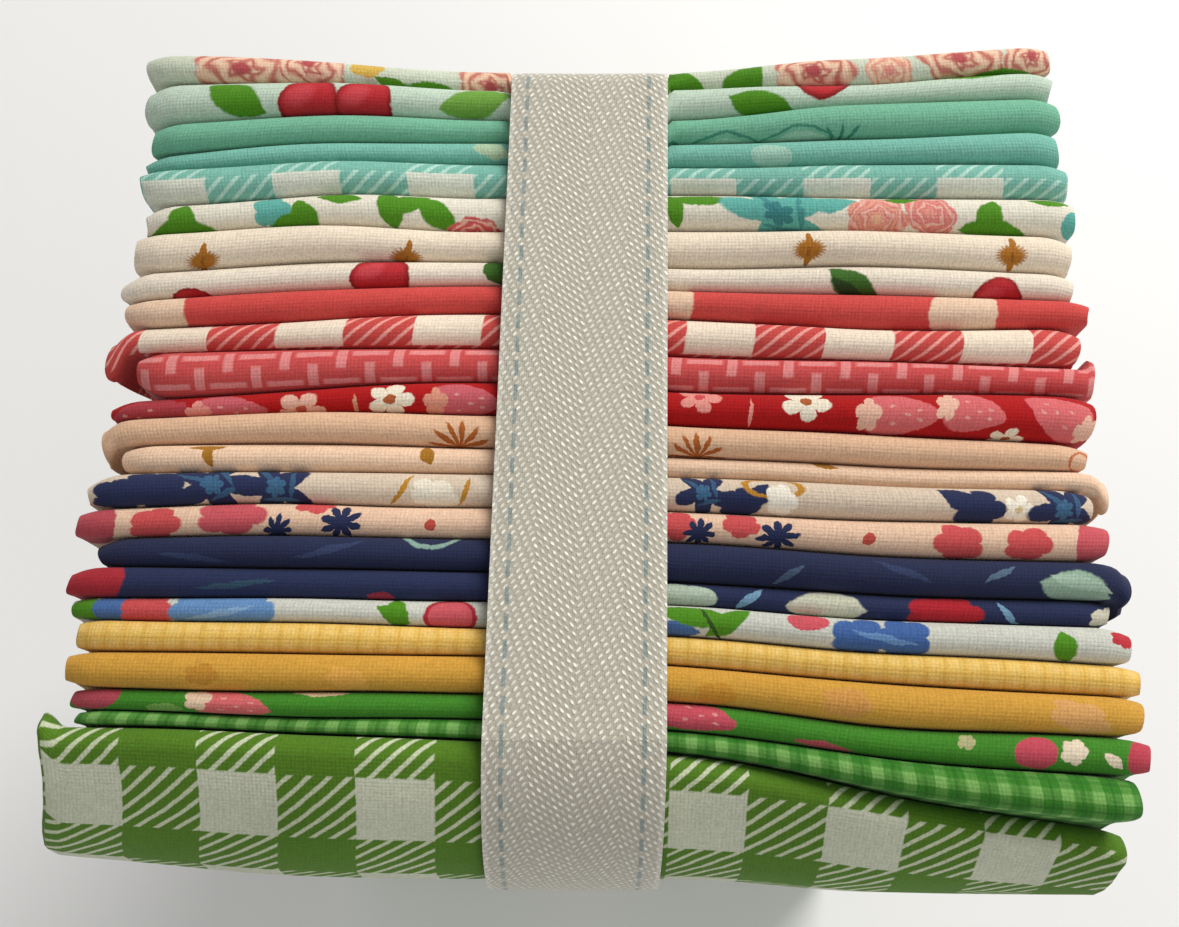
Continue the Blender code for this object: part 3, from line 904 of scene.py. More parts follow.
    def weave(self):
        """Plain weave over the print: threads that pass over and under, slubs and speckle."""
        s, t = self.split(self.flat)
        warp = self.number("SINE", self.times(s, math.pi / THREAD))
        weft = self.number("SINE", self.times(t, math.pi / THREAD))
        cross = self.times(warp, weft)
        height = self.number("POWER", self.size(cross), 0.6)
        slubs = [self.noise(self.vector("MULTIPLY", self.flat, stretch), 1.0, 1.0)
                 for stretch in ((0.5, 2.9, 0.0), (2.9, 0.5, 0.0))]
        slub = self.minus(self.plus(*slubs), 1.0)
        speckle = self.minus(self.noise(self.flat, 3.2, 1.0), 0.5)
        broad = self.minus(self.noise(self.flat, 0.07, 2.0), 0.5)
        level = self.summed(WEAVE_BASE, (height, WEAVE_THREADS), (cross, WEAVE_CROSSINGS),
                            (slub, WEAVE_SLUBS), (speckle, WEAVE_SPECKLE), (broad, WEAVE_CLOUDS))
        wrong = self.node("ShaderNodeAttribute")
        wrong.attribute_name = "wrong_side"
        paler = self.times(wrong.outputs["Fac"], WRONG_SIDE_PALER)
        self.show(self.mixed(paler, self.colour, linear(UNPRINTED)), level)
        self.bump(self.number("MULTIPLY_ADD", slub, 0.5, height), WEAVE_RELIEF)


Motif = namedtuple("Motif", "kind s t width height turn colour accent", defaults=(None,))

COLOURS = {
    "green": "4A8414", "deep_green": "3A6420", "cherry": "B2262C", "cherry_dark": "82100F",
    "pink": "CC6264", "pale_pink": "D98A80", "deep_rose": "B04E50", "peach": "DDAE90",
    "coral": "C34B4C", "teal": "5BA69B", "deep_teal": "2B6E74", "navy": "20294C",
    "navy_light": "3A6484", "gold": "B07C26", "brown_gold": "A4681E", "white": "E4D9C4",
    "outline_blue": "5D7085", "grey_green": "8AA490", "dot_peach": "DEBEA3", "blue": "44659A",
    "pale_blue": "7C9DC0", "yellow": "CDAA4E", "mint_line": "37806A",
}

# Motifs of the scattered prints, in the order they are painted: kind, colour, second colour if
# it has one, place along X from the stack's middle, place across the front fold (positive
# towards -Y), width, height, all in millimetres of cloth, and turn in degrees. Those at about
# 11 mm lie half a repeat from the front fold.
CHARTS = {
    "24_roses": """
        rose peach deep_rose -44.5 -0.4 13 9.4 0 / rose peach deep_rose -36.4 -1.4 9.6 7.6 40 /
        leaf green -22.4 1.5 8.6 3.4 -8 / leaf green -25.8 1 6 2.2 24 / petals yellow -29.4 -1.6 4.4 3 0 /
        rose peach deep_rose -14 0.4 9.4 8 60 / leaf green 10.2 -0.6 6.4 3.4 24 /
        leaf green 17.8 0.6 8 4.4 -46 / rose peach deep_rose 27 -0.6 10.4 8.6 0 /
        rose peach pale_pink 36.2 0 6.8 6 80 / rose peach deep_rose 45.4 -1.2 11.8 8.4 30 /
        rose peach deep_rose 54.2 -0.6 8 7 120 / leaf green 50.6 2 9 2.8 4 /
        rose peach deep_rose -52 10.4 10.6 9.6 20 / leaf green -43.4 9 8.6 3.8 -35 /
        leaf green -44.4 13.6 7.6 3.4 30 / petals yellow -36 11.6 4.8 4.8 0 /
        rose peach deep_rose -26 10.6 12 10.6 75 / leaf green -17 12.8 8 3.6 -20 /
        daisy teal yellow -9 9 5.6 5.6 30 / leaf green -2.6 12.4 8.2 3.6 50 /
        rose peach deep_rose 6.4 10.2 11.4 10 130 / leaf green 15.8 9.2 8 3.8 -30 /
        petals yellow 20.4 13.2 4.6 4.6 0 / rose peach deep_rose 29.6 10.8 9.4 8.6 10 /
        leaf green 37.6 9.4 7.6 3.4 35 / rose peach deep_rose 47.4 11 12 10.4 160 /
        leaf green 56 9.4 6.6 3 -40""",
    "23_cherries_aqua": """
        cherry cherry -36 0.5 7.4 9 0 / cherry cherry -29.3 0.5 7 9 0 / leaf green -45 -0.7 8.6 4.4 32 /
        leaf 6A9A3C -15.6 -0.8 9 4.6 -14 / leaf green 20.6 0.4 9.6 4.2 20 /
        cherry cherry 27.8 -4.4 7.2 8 0 / leaf green 46 -3.6 10 3 4 / daisy pink white 8 10 7 7 0 /
        cherry cherry 50 10 7 7.4 0 / leaf green -20 10 9 4 20""",
    "22_mint": """
        leaf mint_line 28.4 1.2 2.6 0.5 62 / leaf mint_line 29.8 1.3 2.8 0.5 90 /
        leaf mint_line 31.2 1.2 2.8 0.5 -58 / leaf mint_line -30 10 7 2.6 20 /
        leaf mint_line -22 11 7 2.6 -30""",
    "21_aqua": """
        dot 9CC3B2 20.9 -0.1 4.9 3.4 0 / petals A9BF9E -13.6 -0.9 4.6 2.6 20 /
        petals A9C6B4 -2 10 6 6 40 / petals A9C6B4 46 11 6 6 10 / petals A9C6B4 -42 10 6 6 70""",
    "19_flowers_white": """
        leaf green -50.4 1.6 9.2 4.4 4 / leaf green -50.4 -0.2 5.2 3.4 -76 /
        petals teal -39.6 -0.8 4.6 5 0 / leaf green -35.8 0.6 5.4 3.6 76 /
        leaf green -37.6 1 4.6 2.4 -16 / leaf green -31.4 -2.3 5.6 2 6 / leaf green -25.4 -1 6.2 3.2 80 /
        leaf green -23.4 -1.6 6.4 2.6 -24 / leaf green -20 -0.4 6.4 3.4 46 /
        rose pink coral -15.4 2.2 6.6 4.8 0 / leaf green 9 -0.8 4.8 2.4 80 / leaf green 12 -2.3 9 2 0 /
        bloom teal deep_teal 21.4 -0.4 16 10 36 / leaf teal 27.4 -1.8 7 2.6 -8 /
        rose pink DDA688 33.2 0.2 7.4 7 0 / rose pink D98E80 39.6 -0.6 6.8 5.8 50 /
        leaf green 36.2 -2.8 4.2 1.6 0 / leaf green 47 1.7 8.4 3.6 6 / leaf green 46.6 -0.2 5.4 3.2 -74 /
        leaf green 54 -2.6 5.4 1.6 6 / dot teal 57.6 0.9 4.6 4.6 0 /
        bloom teal deep_teal -30 10.5 12 9 36 / rose pink DDA688 10 10.5 9 8 0 /
        leaf green 30 10.5 9 4 24""",
    "18_bees": """
        bee brown_gold -47 1 4.4 4.6 0 / bee brown_gold -23 1.2 4.4 4.6 4 / bee brown_gold 1 0 4.4 4.8 0 /
        bee brown_gold 24.9 -0.2 4.2 5 0 / bee brown_gold 48.9 -0.2 4.2 5 -2 /
        bee brown_gold -35 11.4 4.4 4.8 0 / bee brown_gold 13 11.4 4.4 4.8 0""",
    "17_cherries_white": """
        cherry cherry -26.3 0.2 6.9 7.4 0 / cherry cherry -48.6 3.2 5.6 6 0 /
        leaf deep_green -12.6 -1 4.6 3 70 / cherry cherry 47.2 2.4 6.2 7.4 0 /
        leaf deep_green 22361A 30.2 0.8 8.4 3.8 40 / cherry cherry 2 10.4 7 6.6 0 /
        leaf deep_green 22361A 9 9 8.4 4 30""",
    "16_dots_coral": """
        dot dot_peach -53.4 0.4 9.4 14 0 / dot dot_peach 6.4 -0.6 9.4 9 0 / dot dot_peach 42.4 0 8 10 0 /
        dot dot_peach -24 11 8.4 8.4 0 / dot dot_peach 24 11 8.4 8.4 0""",
    "13_strawberries_red": """
        berry A83A42 A83A42 -52.6 0.6 6 9 90 / berry BE5860 pale_pink -42.6 0.6 5.6 8.6 -90 /
        daisy D9A896 B5503E -34.4 0.7 5.8 4.6 10 / leaf C08468 -28.2 0.4 3 0.5 84 /
        daisy white A8582E -24.2 -0.1 5.4 4.6 0 / berry BE5860 CF8A74 -15.6 0.4 6.4 8 -90 /
        daisy pale_pink C4474A 11.4 -1.9 5 4.4 0 / leaf pale_pink 17.3 0 3.8 0.5 86 /
        daisy white A8582E 23.5 -1.5 5.6 5 12 / berry pink DDAE98 34.2 0 7 8.6 -90 /
        berry pink DDAE98 42.4 -0.6 6.4 7.4 -76 / daisy white A8582E 46.6 2.9 4.4 3.2 0 /
        berry pink DDAE98 52.2 -0.4 6.4 8.8 118 / berry pink DDAE98 -10 11 7 8.4 20 /
        daisy white A8582E 30 11 6 6 0""",
    "12_daisies_peach": """
        burst A2561F -16.4 2.2 7.2 7.2 10 / burst A2561F 11 2 6.6 6.6 0 /
        outline B86A48 54.4 0.4 2.8 3.4 0 / burst A2561F 34 10.6 8 8 30 / burst A2561F -34 10.6 8 8 30""",
    "11_gold_peach": """
        leaf 9C6A1C -44.4 -0.4 3.2 1.2 84 / leaf 9C6A1C -44.6 -1.5 4.6 0.8 2 /
        leaf 9C6A1C -19.8 -0.8 2.8 1.6 70 / leaf 9C6A1C 25.4 -1.3 3 1 14 / leaf 9C6A1C 44 10 6 1.4 -30 /
        leaf 9C6A1C -2 11 6 1.4 70""",
    "10_flowers_navy": """
        petals navy -54 0.6 6.8 4.6 8 / petals navy -49.6 0.2 8.4 6.4 20 /
        bloom navy navy_light -43.4 -0.6 10.6 9 0 / bloom navy navy_light -36.4 -0.2 9.4 8.8 36 /
        leaf gold -22.4 -0.2 5.4 0.6 -54 / leaf gold -15.4 0 4.4 0.6 -70 /
        petals DDD4C0 -18.8 0.5 5.6 4.2 20 / bloom navy navy_light 11.6 -0.4 7 7 18 /
        petals navy 15.6 1 4.8 4.4 0 / leaf navy 17.6 -0.2 4.4 2.2 -56 /
        outline gold 19.4 -1.6 7.2 3.4 0 / petals E6DECE 20.2 0.2 3.6 4.6 0 / petals navy 42 0.4 6 5.4 0 /
        leaf navy 39.8 -0.8 5 2.6 30 / daisy E6DECE CDB98C 46.4 0.2 3.4 3.6 0 /
        bloom navy navy_light 51.6 0.2 8.6 8.4 24 / bloom navy navy_light 20 11 12 9.6 24 /
        leaf gold -30 11 9 1 -54""",
    "09_flowers_coral": """
        dot B04850 -57 0.4 6.4 8.6 0 / petals coral -49.4 0.3 6 4.8 0 / petals BE5058 -41 -0.6 8 5.4 0 /
        petals coral -32 -2.2 4.6 2.8 0 / sprig navy -35.6 1.2 4 3.2 90 /
        sprig navy -28.8 0.1 4.4 4.6 104 / dot B4483C -19 0.1 1.2 1.4 0 /
        petals coral 8.4 -0.4 4.6 4.4 0 / sprig navy 11.2 0.6 3.8 3.6 90 /
        petals coral 15.6 -0.9 4.4 3.6 20 / sprig navy 19.8 0.4 4 4.8 80 / dot B4483C 29.6 0.1 1.3 1.5 0 /
        petals coral 39.4 0.3 5.8 5 30 / petals coral 47 0.3 5.6 4.4 0 / dot BE5058 54.6 0.2 4.6 7.6 0 /
        petals coral -10 11 7 6 0""",
    "08_navy_outline": """
        outline 7E9C90 -19 -3 6.6 4.6 0 / leaf 2C3859 -45 0.6 8 0.8 10 / leaf 2C3859 -30 -0.4 8 0.8 -16 /
        leaf 42546C 20.6 0.8 4.4 0.9 -40 / leaf 2C3859 33 -0.6 7 0.8 20 /
        leaf 4E6278 43.4 -0.6 4 0.8 -30 / leaf grey_green 52 1.1 8.6 4.6 12 /
        leaf 9CB3A0 52.4 0.2 7.6 1.4 12 / outline outline_blue 10 11 10 8 0 /
        outline outline_blue -40 11 10 8 0""",
    "07_navy_aqua": """
        dot A02430 -57.4 0 10.4 8.4 0 / petals 8A2638 -24 1.6 3.2 1.6 0 / leaf 2A4459 -40 0.2 9 0.8 -6 /
        dot A9B9A6 8.6 0.3 8.8 3.4 0 / leaf 6E93B0 16.4 0 4 1 -50 / leaf C2C2AC 24.8 0.4 8.8 4.4 0 /
        petals A81C28 37.4 0.4 8.6 5 0 / leaf 6E93B0 44.6 0.6 5 0.8 50 / petals C9C4B0 55.2 0.6 4 3.2 0 /
        dot A9B9A6 -20 11 9.6 5 0 / petals A81C28 40 11 9.6 5.4 0""",
    "06_flowers_blue": """
        dot green -56.4 0.4 4 4.4 0 / dot blue -53.4 -0.2 4.4 4.4 0 / petals coral -49.6 0.3 6.4 5.4 0 /
        petals 5F86B4 -43.8 0 7 6.4 20 / petals 5F86B4 -38.8 0.2 6.6 6 0 /
        leaf pale_blue -41.6 0.3 8 0.8 -12 / leaf green -22.4 0.2 5 2.6 80 /
        leaf green -22.8 0.2 4 1.8 30 / dot A32531 -16.6 0.4 5.8 5.2 0 / dot C2525A -16.6 0.3 4.8 4.1 0 /
        leaf blue 8.2 1.2 5.6 2.4 0 / leaf green 10.2 -0.7 8.4 2.6 6 / leaf green 13.8 -0.2 6.4 2.4 -40 /
        leaf 2B4E14 12 0.2 5.6 0.5 60 / dot C4505A 22.4 -1.3 4.6 2.4 0 / petals 3C5E98 28 0.4 6.6 5.6 0 /
        petals 3C5E98 32.6 0.2 6.2 6 30 / leaf 5F84B2 30.6 0.2 7.6 0.8 10 /
        leaf green 49.8 0.6 4.4 2.6 76 / petals B02A34 56.2 -1.1 3.4 2.4 0 / petals 3C5E98 -20 11 11 8 0 /
        petals coral 20 11 7 6 0""",
    "04_mustard": """
        petals B9822C -42.6 0.4 4 2.6 0 / petals D29B45 -27 1 5.4 3 30 / petals C1882B 12.6 0.8 4.4 3 0 /
        petals C68E46 26 0.2 5.6 3.8 0 / petals CC985A 50.4 0.4 7 3.8 20 / petals D6A452 0 11 8 6 20""",
    "03_strawberries_green": """
        dot A84450 -54.6 -0.6 6 3.8 0 / petals 6E9848 -46.6 0.9 4 1.6 0 /
        berry pink D9BCA0 -39.4 0.2 4.2 8.8 -82 / leaf C2A888 -30.4 -1.5 6 1.2 0 /
        berry BC4A58 BC4A58 10 -0.4 5 9.2 -80 / leaf B04A54 23.6 1.4 6.4 1.2 6 /
        petals A6A678 38.2 -0.8 2 1.8 0 / dot B84654 45.4 0.2 4.4 4 0 / petals D9C9B0 49.2 -0.2 2.8 3 0 /
        dot B03C4A 57.2 0 4.8 6 0 / leaf D9C9B0 53.4 0.6 2.6 1.2 40 / berry pink D9BCA0 0 11 6.6 8 20 /
        berry pink D9BCA0 36 11 6.6 8 -30""",
}
CHART_WIDTH = 120.0                        # the size of one repeat
CHART_HEIGHT = 24.0
CHART_FIRST = -7.0                         # its upper edge
CHART_DROP = 43.0                          # how far along each next row of repeats lies


# Ginghams: colour, colour of the hatch's pale lines and their share of its pitch, where the
# first upright and level bands start, width and period of the bands, pitch of the hatch
Gingham = namedtuple("Gingham", "colour line share start down width period pitch")
GINGHAMS = {
    "20_gingham_aqua": Gingham("76B1A1", "AAD0C1", 0.32, -47.8, -9.3, 8.05, 16.1, 2.03),
    "15_gingham_coral": Gingham("C24742", "E39A90", 0.28, -45.9, 1.9, 8.0, 16.0, 2.03),
    "01_gingham_green": Gingham("4F7719", "C0C7A8", 0.32, -51.1, -3.0, 8.35, 16.7, 2.09),
}


def draw_gingham(cloth, chart, shift):
    """Squares of a gingham: plain ground, hatched where one band runs, full where two cross."""
    s, t = cloth.place
    t = cloth.minus(t, shift)
    upright = cloth.band(s, chart.start, chart.width, chart.period)
    level = cloth.band(t, chart.down, chart.width, chart.period)
    both = cloth.times(upright, level)
    either = cloth.number("MAXIMUM", upright, level)
    solid = chart.pitch * (1.0 - chart.share)
    stripes = cloth.band(cloth.plus(s, t), 0.0, solid, chart.pitch, edge=0.13)
    hatched = cloth.times(either, stripes)
    cloth.paint(either, chart.line)
    cloth.paint(cloth.number("MAXIMUM", both, hatched), chart.colour)


# Small strokes inside a motif: place, width, height and turn in its own half sizes
BLOOM_STROKES = (
    (-0.34, -0.16, 0.95, 0.15, 22),
    (0.30, 0.22, 0.95, 0.15, -34),
    (0.26, -0.34, 0.9, 0.15, 64),
)
SEEDS = ((-0.3, -0.2), (0.3, -0.25), (0.0, 0.15), (-0.15, 0.5), (0.2, 0.45))


def draw_motif(cloth, place, motif):
    """One motif with its small parts, drawn from simple forms."""
    kind = motif.kind
    local = cloth.local(place, motif.s, motif.t, motif.width, motif.height, motif.turn)

    def part(*where):
        """Place across a small part, which is given in the motif's half sizes."""
        return cloth.local(local, *where)

    if kind == "dot":
        cloth.paint(cloth.dot(local, 0.04), motif.colour)
    elif kind == "leaf":
        cloth.paint(cloth.leaf(local), motif.colour)
        if motif.accent:
            cloth.paint(cloth.leaf(part(0.1, 0.35, 1.7, 0.9)), motif.accent, 0.8)
    elif kind == "petals":
        cloth.paint(cloth.petals(local, 5, depth=0.26), motif.colour)
    elif kind == "bloom":
        cloth.paint(cloth.petals(local, 5, depth=0.56, sharp=1.3), motif.colour)
        for stroke in BLOOM_STROKES:
            cloth.paint(cloth.leaf(part(*stroke)), motif.accent, 0.6)
        cloth.paint(cloth.petals(part(0.0, 0.0, 0.5, 0.6), 6, depth=0.5), motif.accent, 0.8)
    elif kind == "outline":
        cloth.paint(cloth.ring(local, 0.12), motif.colour)
    elif kind == "burst":
        cloth.paint(cloth.petals(local, 12, depth=0.86, sharp=1.5, edge=0.10), motif.colour)
    elif kind == "sprig":
        cloth.paint(cloth.petals(local, 8, depth=0.58, sharp=0.9), motif.colour)
    elif kind == "daisy":
        cloth.paint(cloth.petals(local, 5, depth=0.62, sharp=0.45), motif.colour)
        cloth.paint(cloth.dot(part(0.0, 0.0, 0.5, 0.5)), motif.accent)
    elif kind == "cherry":
        cloth.paint(cloth.dot(local, 0.04), "cherry_dark")
        cloth.paint(cloth.dot(part(0.0, -0.04, 1.76, 1.76), 0.14), motif.colour)
        cloth.paint(cloth.dot(part(-0.30, -0.30, 0.8, 0.5, -20), 0.6), "CF5058", 0.5)
    elif kind == "berry":
        cloth.paint(cloth.berry(local), motif.colour)
        for s, t in SEEDS:
            cloth.paint(cloth.dot(part(s, t, 0.10, 0.14), 0.4), "E2B4A4", 0.5)
        cloth.paint(cloth.petals(part(0.0, -0.86, 1.3, 0.7), 5, depth=0.4), motif.accent)
    elif kind == "rose":
        bloom = cloth.petals(local, 7, depth=0.16)
        cloth.paint(bloom, motif.colour)
        cloth.paint(cloth.times(bloom, cloth.whorls(local, 0.30)), motif.accent, 0.75)
        cloth.paint(cloth.times(bloom, cloth.whorls(local, 0.13)), "EBCDB4", 0.6)
        cloth.paint(cloth.dot(part(-0.05, 0.0, 0.36, 0.36), 0.3), motif.accent)
    elif kind == "bee":
        wings = cloth.petals(part(0.0, 0.05, 1.9, 1.15), 22, depth=0.42, edge=0.14)
        cloth.paint(wings, motif.colour, 0.8)
        cloth.paint(cloth.dot(part(0.0, 0.05, 1.3, 0.85), 0.2), motif.colour)
        cloth.paint(cloth.dot(part(0.0, 0.0, 0.46, 1.95)), motif.colour)
        cloth.paint(cloth.dot(part(0.0, 0.1, 0.2, 0.5), 0.3), "7A4614", 0.6)


def draw_chart(cloth, name, shift):
    """All the scattered motifs of one cloth, in the order of its chart."""
    place = cloth.tile(CHART_WIDTH, CHART_HEIGHT, CHART_DROP, shift, CHART_FIRST)
    for row in CHARTS[name].split("/"):
        kind, *words = row.split()
        numbers = [float(word) for word in words[-5:]]
        draw_motif(cloth, place, Motif(kind, *numbers, *words[:-5]))


VINE_MIDDLE = 16.2
VINE_REACH = 12.3                          # to either side of its middle
VINE_DIP = 10.8                            # where one of its scallops starts
VINE_PITCH = 9.2


def draw_vine(cloth, shift):
    """Darker scalloped line of the mint cloth, over pale half rounds."""
    s, t = cloth.tile(CHART_WIDTH, CHART_HEIGHT, CHART_DROP, shift, CHART_FIRST)
    turned = cloth.times(cloth.minus(s, VINE_DIP), math.pi / VINE_PITCH)
    scallops = cloth.size(cloth.number("SINE", turned))
    crest = cloth.number("MULTIPLY_ADD", scallops, -1.9, 1.75)
    away = cloth.size(cloth.minus(s, VINE_MIDDLE))
    reach = cloth.soft(away, VINE_REACH - 0.5, VINE_REACH)
    under = cloth.minus(crest, t)
    pale = cloth.times(cloth.soft(under, -0.9, -0.5), cloth.soft(t, 1.7, 2.4))
    cloth.paint(cloth.times(pale, reach), "A8CBB4", 0.6)
    line = cloth.soft(cloth.size(under), 0.12, 0.26)
    cloth.paint(cloth.times(line, reach), "mint_line", 0.9)


BASKET_PITCH = 6.45
BASKET_HEIGHT = 6.2
BASKET_BARS = (
    (2.32, -1.5, 1.15, 2.7),
    (-0.9, 0.65, 1.15, 2.7),
    (-0.9, -2.1, 4.1, 0.9),
    (2.32, 1.5, 4.1, 0.75),
    (-4.13, 1.5, 4.1, 0.75),
)


def draw_basket(cloth, shift):
    """Paler short bars, upright and level, of the coral basket plaid."""
    place = cloth.tile(BASKET_PITCH, BASKET_HEIGHT, 0.0, shift, -BASKET_HEIGHT / 2)
    for bar in BASKET_BARS:
        cloth.paint(cloth.box(cloth.local(place, *bar), 0.14), "D98886", 0.85)


def draw_check(cloth, shift, pale, dark, pitch, square, strength):
    """Small pale squares where soft pale bands cross, with dark hair lines between them."""
    s, t = cloth.place
    t = cloth.minus(t, shift)
    bands = [cloth.band(value, -square / 2, square, pitch) for value in (s, t)]
    for band in bands:
        cloth.paint(band, pale, 0.28 * strength)
    cloth.paint(cloth.times(*bands), pale, 0.6 * strength)
    for value in (s, t):
        cloth.paint(cloth.band(value, pitch / 2 - 0.2, 0.4, pitch), dark, 0.55 * strength)


def print_shift(number):
    """How far the charts' middle line lies from the front fold, round towards the viewer."""
    radius = np.mean(QUARTERS[number].thickness) / 2
    crest_y = np.mean(FRONT_LINES[number]) - radius - CENTRE_Y
    return radius * math.atan2(crest_y - CAMERA_Y, CAMERA_RISE)


def cloth_material(number):
    """Print and weave of one fat quarter."""
    name = QUARTERS[number].name
    ruled = name in GINGHAMS or name not in CHARTS
    cloth = Cloth(name, QUARTERS[number].ground, wobble=RULED_WOBBLE if ruled else DRAWN_WOBBLE)
    shift = print_shift(number)
    if name in CHARTS:
        if name == "22_mint":
            draw_vine(cloth, shift)
        draw_chart(cloth, name, shift)
    if name in GINGHAMS:
        draw_gingham(cloth, GINGHAMS[name], 0.0 if number == LOWEST else shift)
    if name == "14_plaid_coral":
        draw_basket(cloth, shift)
    if name == "05_plaid_yellow":
        draw_check(cloth, shift - 1.0, "E6C27C", "C48C2C", 2.1, 0.9, 0.5)
    if name == "02_plaid_green":
        draw_check(cloth, shift, "86B664", "225E14", 3.2, 1.25, 0.8)
    cloth.weave()
    return cloth.material


TAPE_GROUND = "B6B0A0"
# colour of the painted glints on the twill's floats and of the painted sheen along the tape's edges
TAPE_GLINT = "F6F4E6"
DASH_COLOUR = "82918E"
DASH_PLACES = (-7.7, 7.4)
DASH_WIDTH = 0.48
DASH_LENGTH = 1.95
DASH_PITCH = 2.95
ONCE = 200.0                               # period of a band that comes only once
HERRINGBONE = 4.9                          # width of one column of the twill
SPECK_ACROSS = 0.79
SPECK_ALONG = 0.81
SPECK_SHIFT = 0.26                         # sideways, from one line of the twill to the next
TWILL_RISE = 0.72                          # of its lines, for each millimetre across
TAPE_THREAD = 0.26
# width of the painted sheen along each edge of the tape
EDGE_SHEEN_WIDTH = 0.75
TAPE_RELIEF = 0.00012


def tape_material():
    """Off-white herringbone twill with painted glints on its floats, a dashed line near each edge and a
    painted sheen along both edges.
    """
    cloth = Cloth("tape", TAPE_GROUND, roughness=0.5, sheen=0.25, wobble=0.03)
    s, t = cloth.place
    zigzag = cloth.number("PINGPONG", cloth.plus(s, 2 * HERRINGBONE), HERRINGBONE)
    along = cloth.number("MULTIPLY_ADD", zigzag, TWILL_RISE, t)
    line = cloth.number("ROUND", cloth.number("DIVIDE", along, SPECK_ALONG))
    slid = cloth.number("MULTIPLY_ADD", line, -SPECK_SHIFT, s)
    speck_place = (cloth.number("WRAP", slid, -SPECK_ACROSS / 2, SPECK_ACROSS / 2),
                   cloth.number("WRAP", along, -SPECK_ALONG / 2, SPECK_ALONG / 2))
    # each float of the twill, raised in the bump and painted with a glint
    float_and_glint = cloth.dot(cloth.local(speck_place, 0.0, 0.0, 0.42, 0.36), 0.6)
    thread = cloth.number("SINE", cloth.times(s, 2 * math.pi / TAPE_THREAD))
    twill = cloth.number("SINE", cloth.times(along, 2 * math.pi / SPECK_ALONG))
    # painted glints where the floats catch the light, some brighter than others
    glint_unevenness = cloth.number("MULTIPLY_ADD", cloth.noise(cloth.flat, 1.3, 1.0), 2.4, -0.3)
    cloth.paint(cloth.times(float_and_glint, glint_unevenness), TAPE_GLINT, 0.72)
    for place in DASH_PLACES:
        line = cloth.band(s, place - DASH_WIDTH / 2, DASH_WIDTH, ONCE)
        dash = cloth.band(t, 0.0, DASH_LENGTH, DASH_PITCH, edge=0.15)
        cloth.paint(cloth.times(line, dash), DASH_COLOUR, 0.85)
    # painted sheen: a pale line along each edge of the tape, where its rounded edges catch the light
    edge_sheen = cloth.band(s, -TAPE_WIDTH / 2 - 0.2, EDGE_SHEEN_WIDTH, TAPE_WIDTH - 0.35)
    cloth.paint(edge_sheen, TAPE_GLINT, 0.25)
    level = cloth.minus(cloth.summed(0.98, (twill, 0.045), (thread, 0.015)), 0.12)
    grain = cloth.noise(cloth.flat, 2.6, 1.0)
    cloth.show(cloth.colour, cloth.summed(level, (grain, 0.24)))
    cloth.bump(cloth.summed(0.3, (twill, 0.12), (float_and_glint, 0.8), (thread, 0.03)), TAPE_RELIEF)
    return cloth.material


def floor_material():
    """Plain pale matt board with a barely uneven tone."""
    cloth = Cloth("floor", "EDEDEC", roughness=0.9, sheen=0.0, wobble=0.0)
    place = cloth.node("ShaderNodeTexCoord")
    tone = cloth.noise(place.outputs["Object"], 3.0, 2.0)
    cloth.show(cloth.colour, cloth.number("MULTIPLY_ADD", tone, 0.03, 0.985))
    return cloth.material


# ---------------------------------------------------------------- the pieces

def make_quarters():
    """Every fat quarter, in a piece of its own."""
    for number, quarter in enumerate(QUARTERS):
        grids, table = fold_quarter(number)
        flat = flat_places(number, grids[0], table)
        node = "quarter_" + quarter.name
        piece = sheet_mesh("cloth_" + quarter.name, grids[0] * MM, grids[1] * MM, flat * MM)
        piece.data.materials.append(cloth_material(number))
        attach(piece, "root")
        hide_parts(node)


def make_tape():
    """The one tape round the stack."""
    grids, flat, length = tape_mesh()
    piece = sheet_mesh("woven_tape", grids[0] * MM, grids[1] * MM, flat * MM)
    piece.data.materials.append(tape_material())
    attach(piece, "root")
    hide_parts("tape")


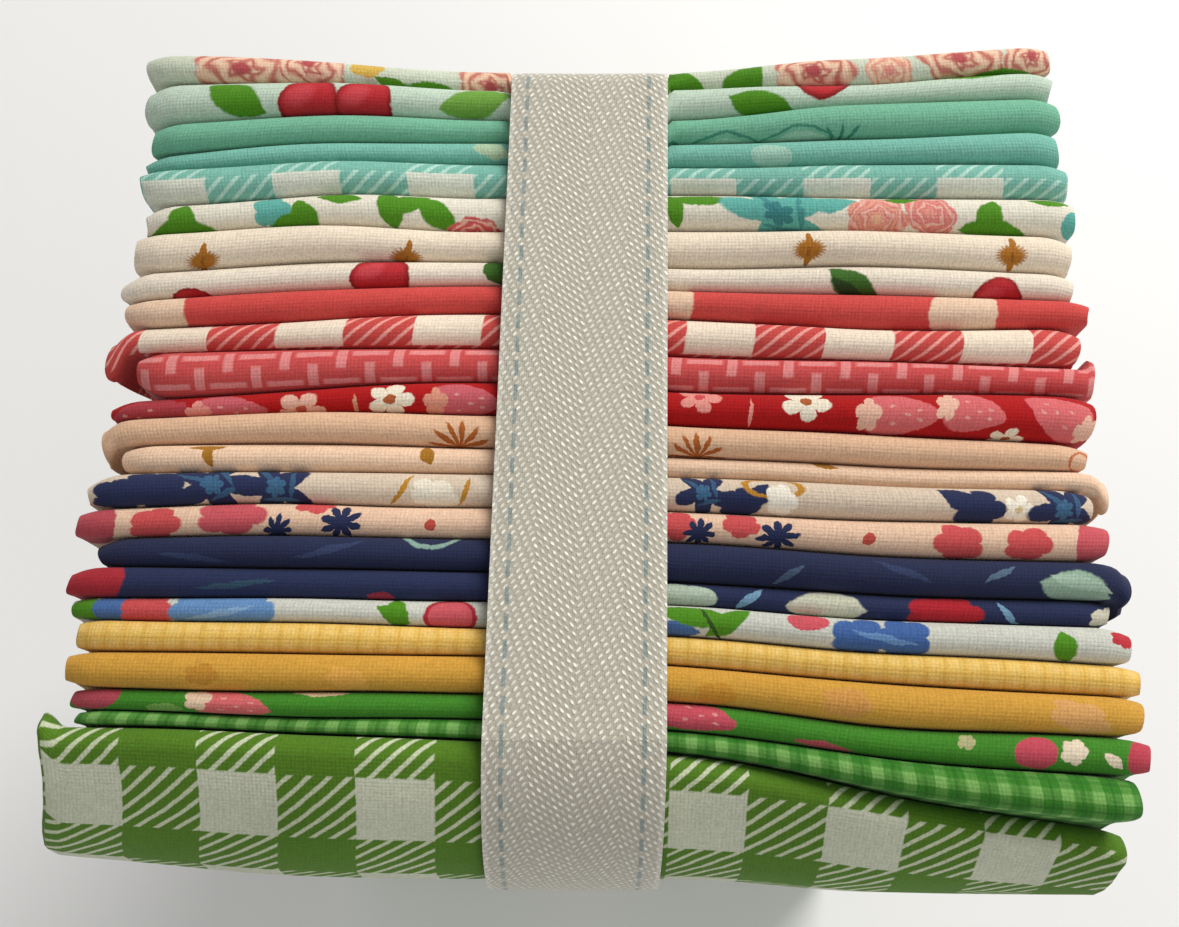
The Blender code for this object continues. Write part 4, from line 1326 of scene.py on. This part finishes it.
def make_camera():
    """Looks at the front folds, from over the lowest cloth's side."""
    data = bpy.data.cameras.new("camera")
    data.sensor_fit = "HORIZONTAL"
    data.sensor_width = SENSOR_WIDTH
    data.lens = SENSOR_WIDTH * FOCAL_PIXELS / IMAGE_WIDTH
    data.clip_start = 0.01
    camera = bpy.data.objects.new("camera", data)
    camera.location = (CAMERA_TARGET[0] * MM, CAMERA_Y * MM, (CAMERA_TARGET[2] + CAMERA_RISE) * MM)
    camera.rotation_euler = (CAMERA_TILT, 0.0, 0.0)
    bpy.context.scene.collection.objects.link(camera)
    bpy.context.scene.camera = camera


# Lamps of the studio: name, place, size, power and colour
LIGHTS = (
    ("key", (0.50, 0.80, 0.84), 0.70, 13.7, (1.0, 0.985, 0.96)),
    ("fill", (0.45, -0.75, 0.80), 0.9, 2.3, (1.0, 1.0, 1.0)),
)
LIGHT_AIM = (0.0, 0.0, 0.15)
SKY_STRENGTH = 0.40
FLOOR_REACH = 3.0
FLOOR_DROP = 0.0003


def make_light(name, place, size, power, colour):
    """Round soft lamp, turned to the point that all of them aim at."""
    data = bpy.data.lights.new(name, "AREA")
    data.shape = "DISK"
    data.size = size
    data.energy = power
    data.color = colour
    light = bpy.data.objects.new(name, data)
    light.location = place
    x, y, z = [end - start for start, end in zip(place, LIGHT_AIM)]
    light.rotation_euler = (math.atan2(math.hypot(x, y), -z), 0.0, math.atan2(y, x) - math.pi / 2)
    bpy.context.scene.collection.objects.link(light)


def make_studio():
    """Pale floor, two lamps and an even white sky."""
    mesh = bpy.data.meshes.new("floor")
    corners = [(x * FLOOR_REACH, y * FLOOR_REACH, 0) for x, y in ((-1, -1), (1, -1), (1, 1), (-1, 1))]
    mesh.from_pydata(corners, [], [(0, 1, 2, 3)])
    floor = bpy.data.objects.new("floor", mesh)
    floor.location.z = -FLOOR_DROP
    mesh.materials.append(floor_material())
    bpy.context.scene.collection.objects.link(floor)
    for light in LIGHTS:
        make_light(*light)
    world = bpy.data.worlds.new("studio")
    world.use_nodes = True
    background = world.node_tree.nodes["Background"]
    background.inputs["Color"].default_value = (1.0, 1.0, 1.0, 1.0)
    background.inputs["Strength"].default_value = SKY_STRENGTH
    bpy.context.scene.world = world
    bpy.context.scene.view_settings.view_transform = "Standard"


make_camera()
make_quarters()
make_tape()
make_studio()
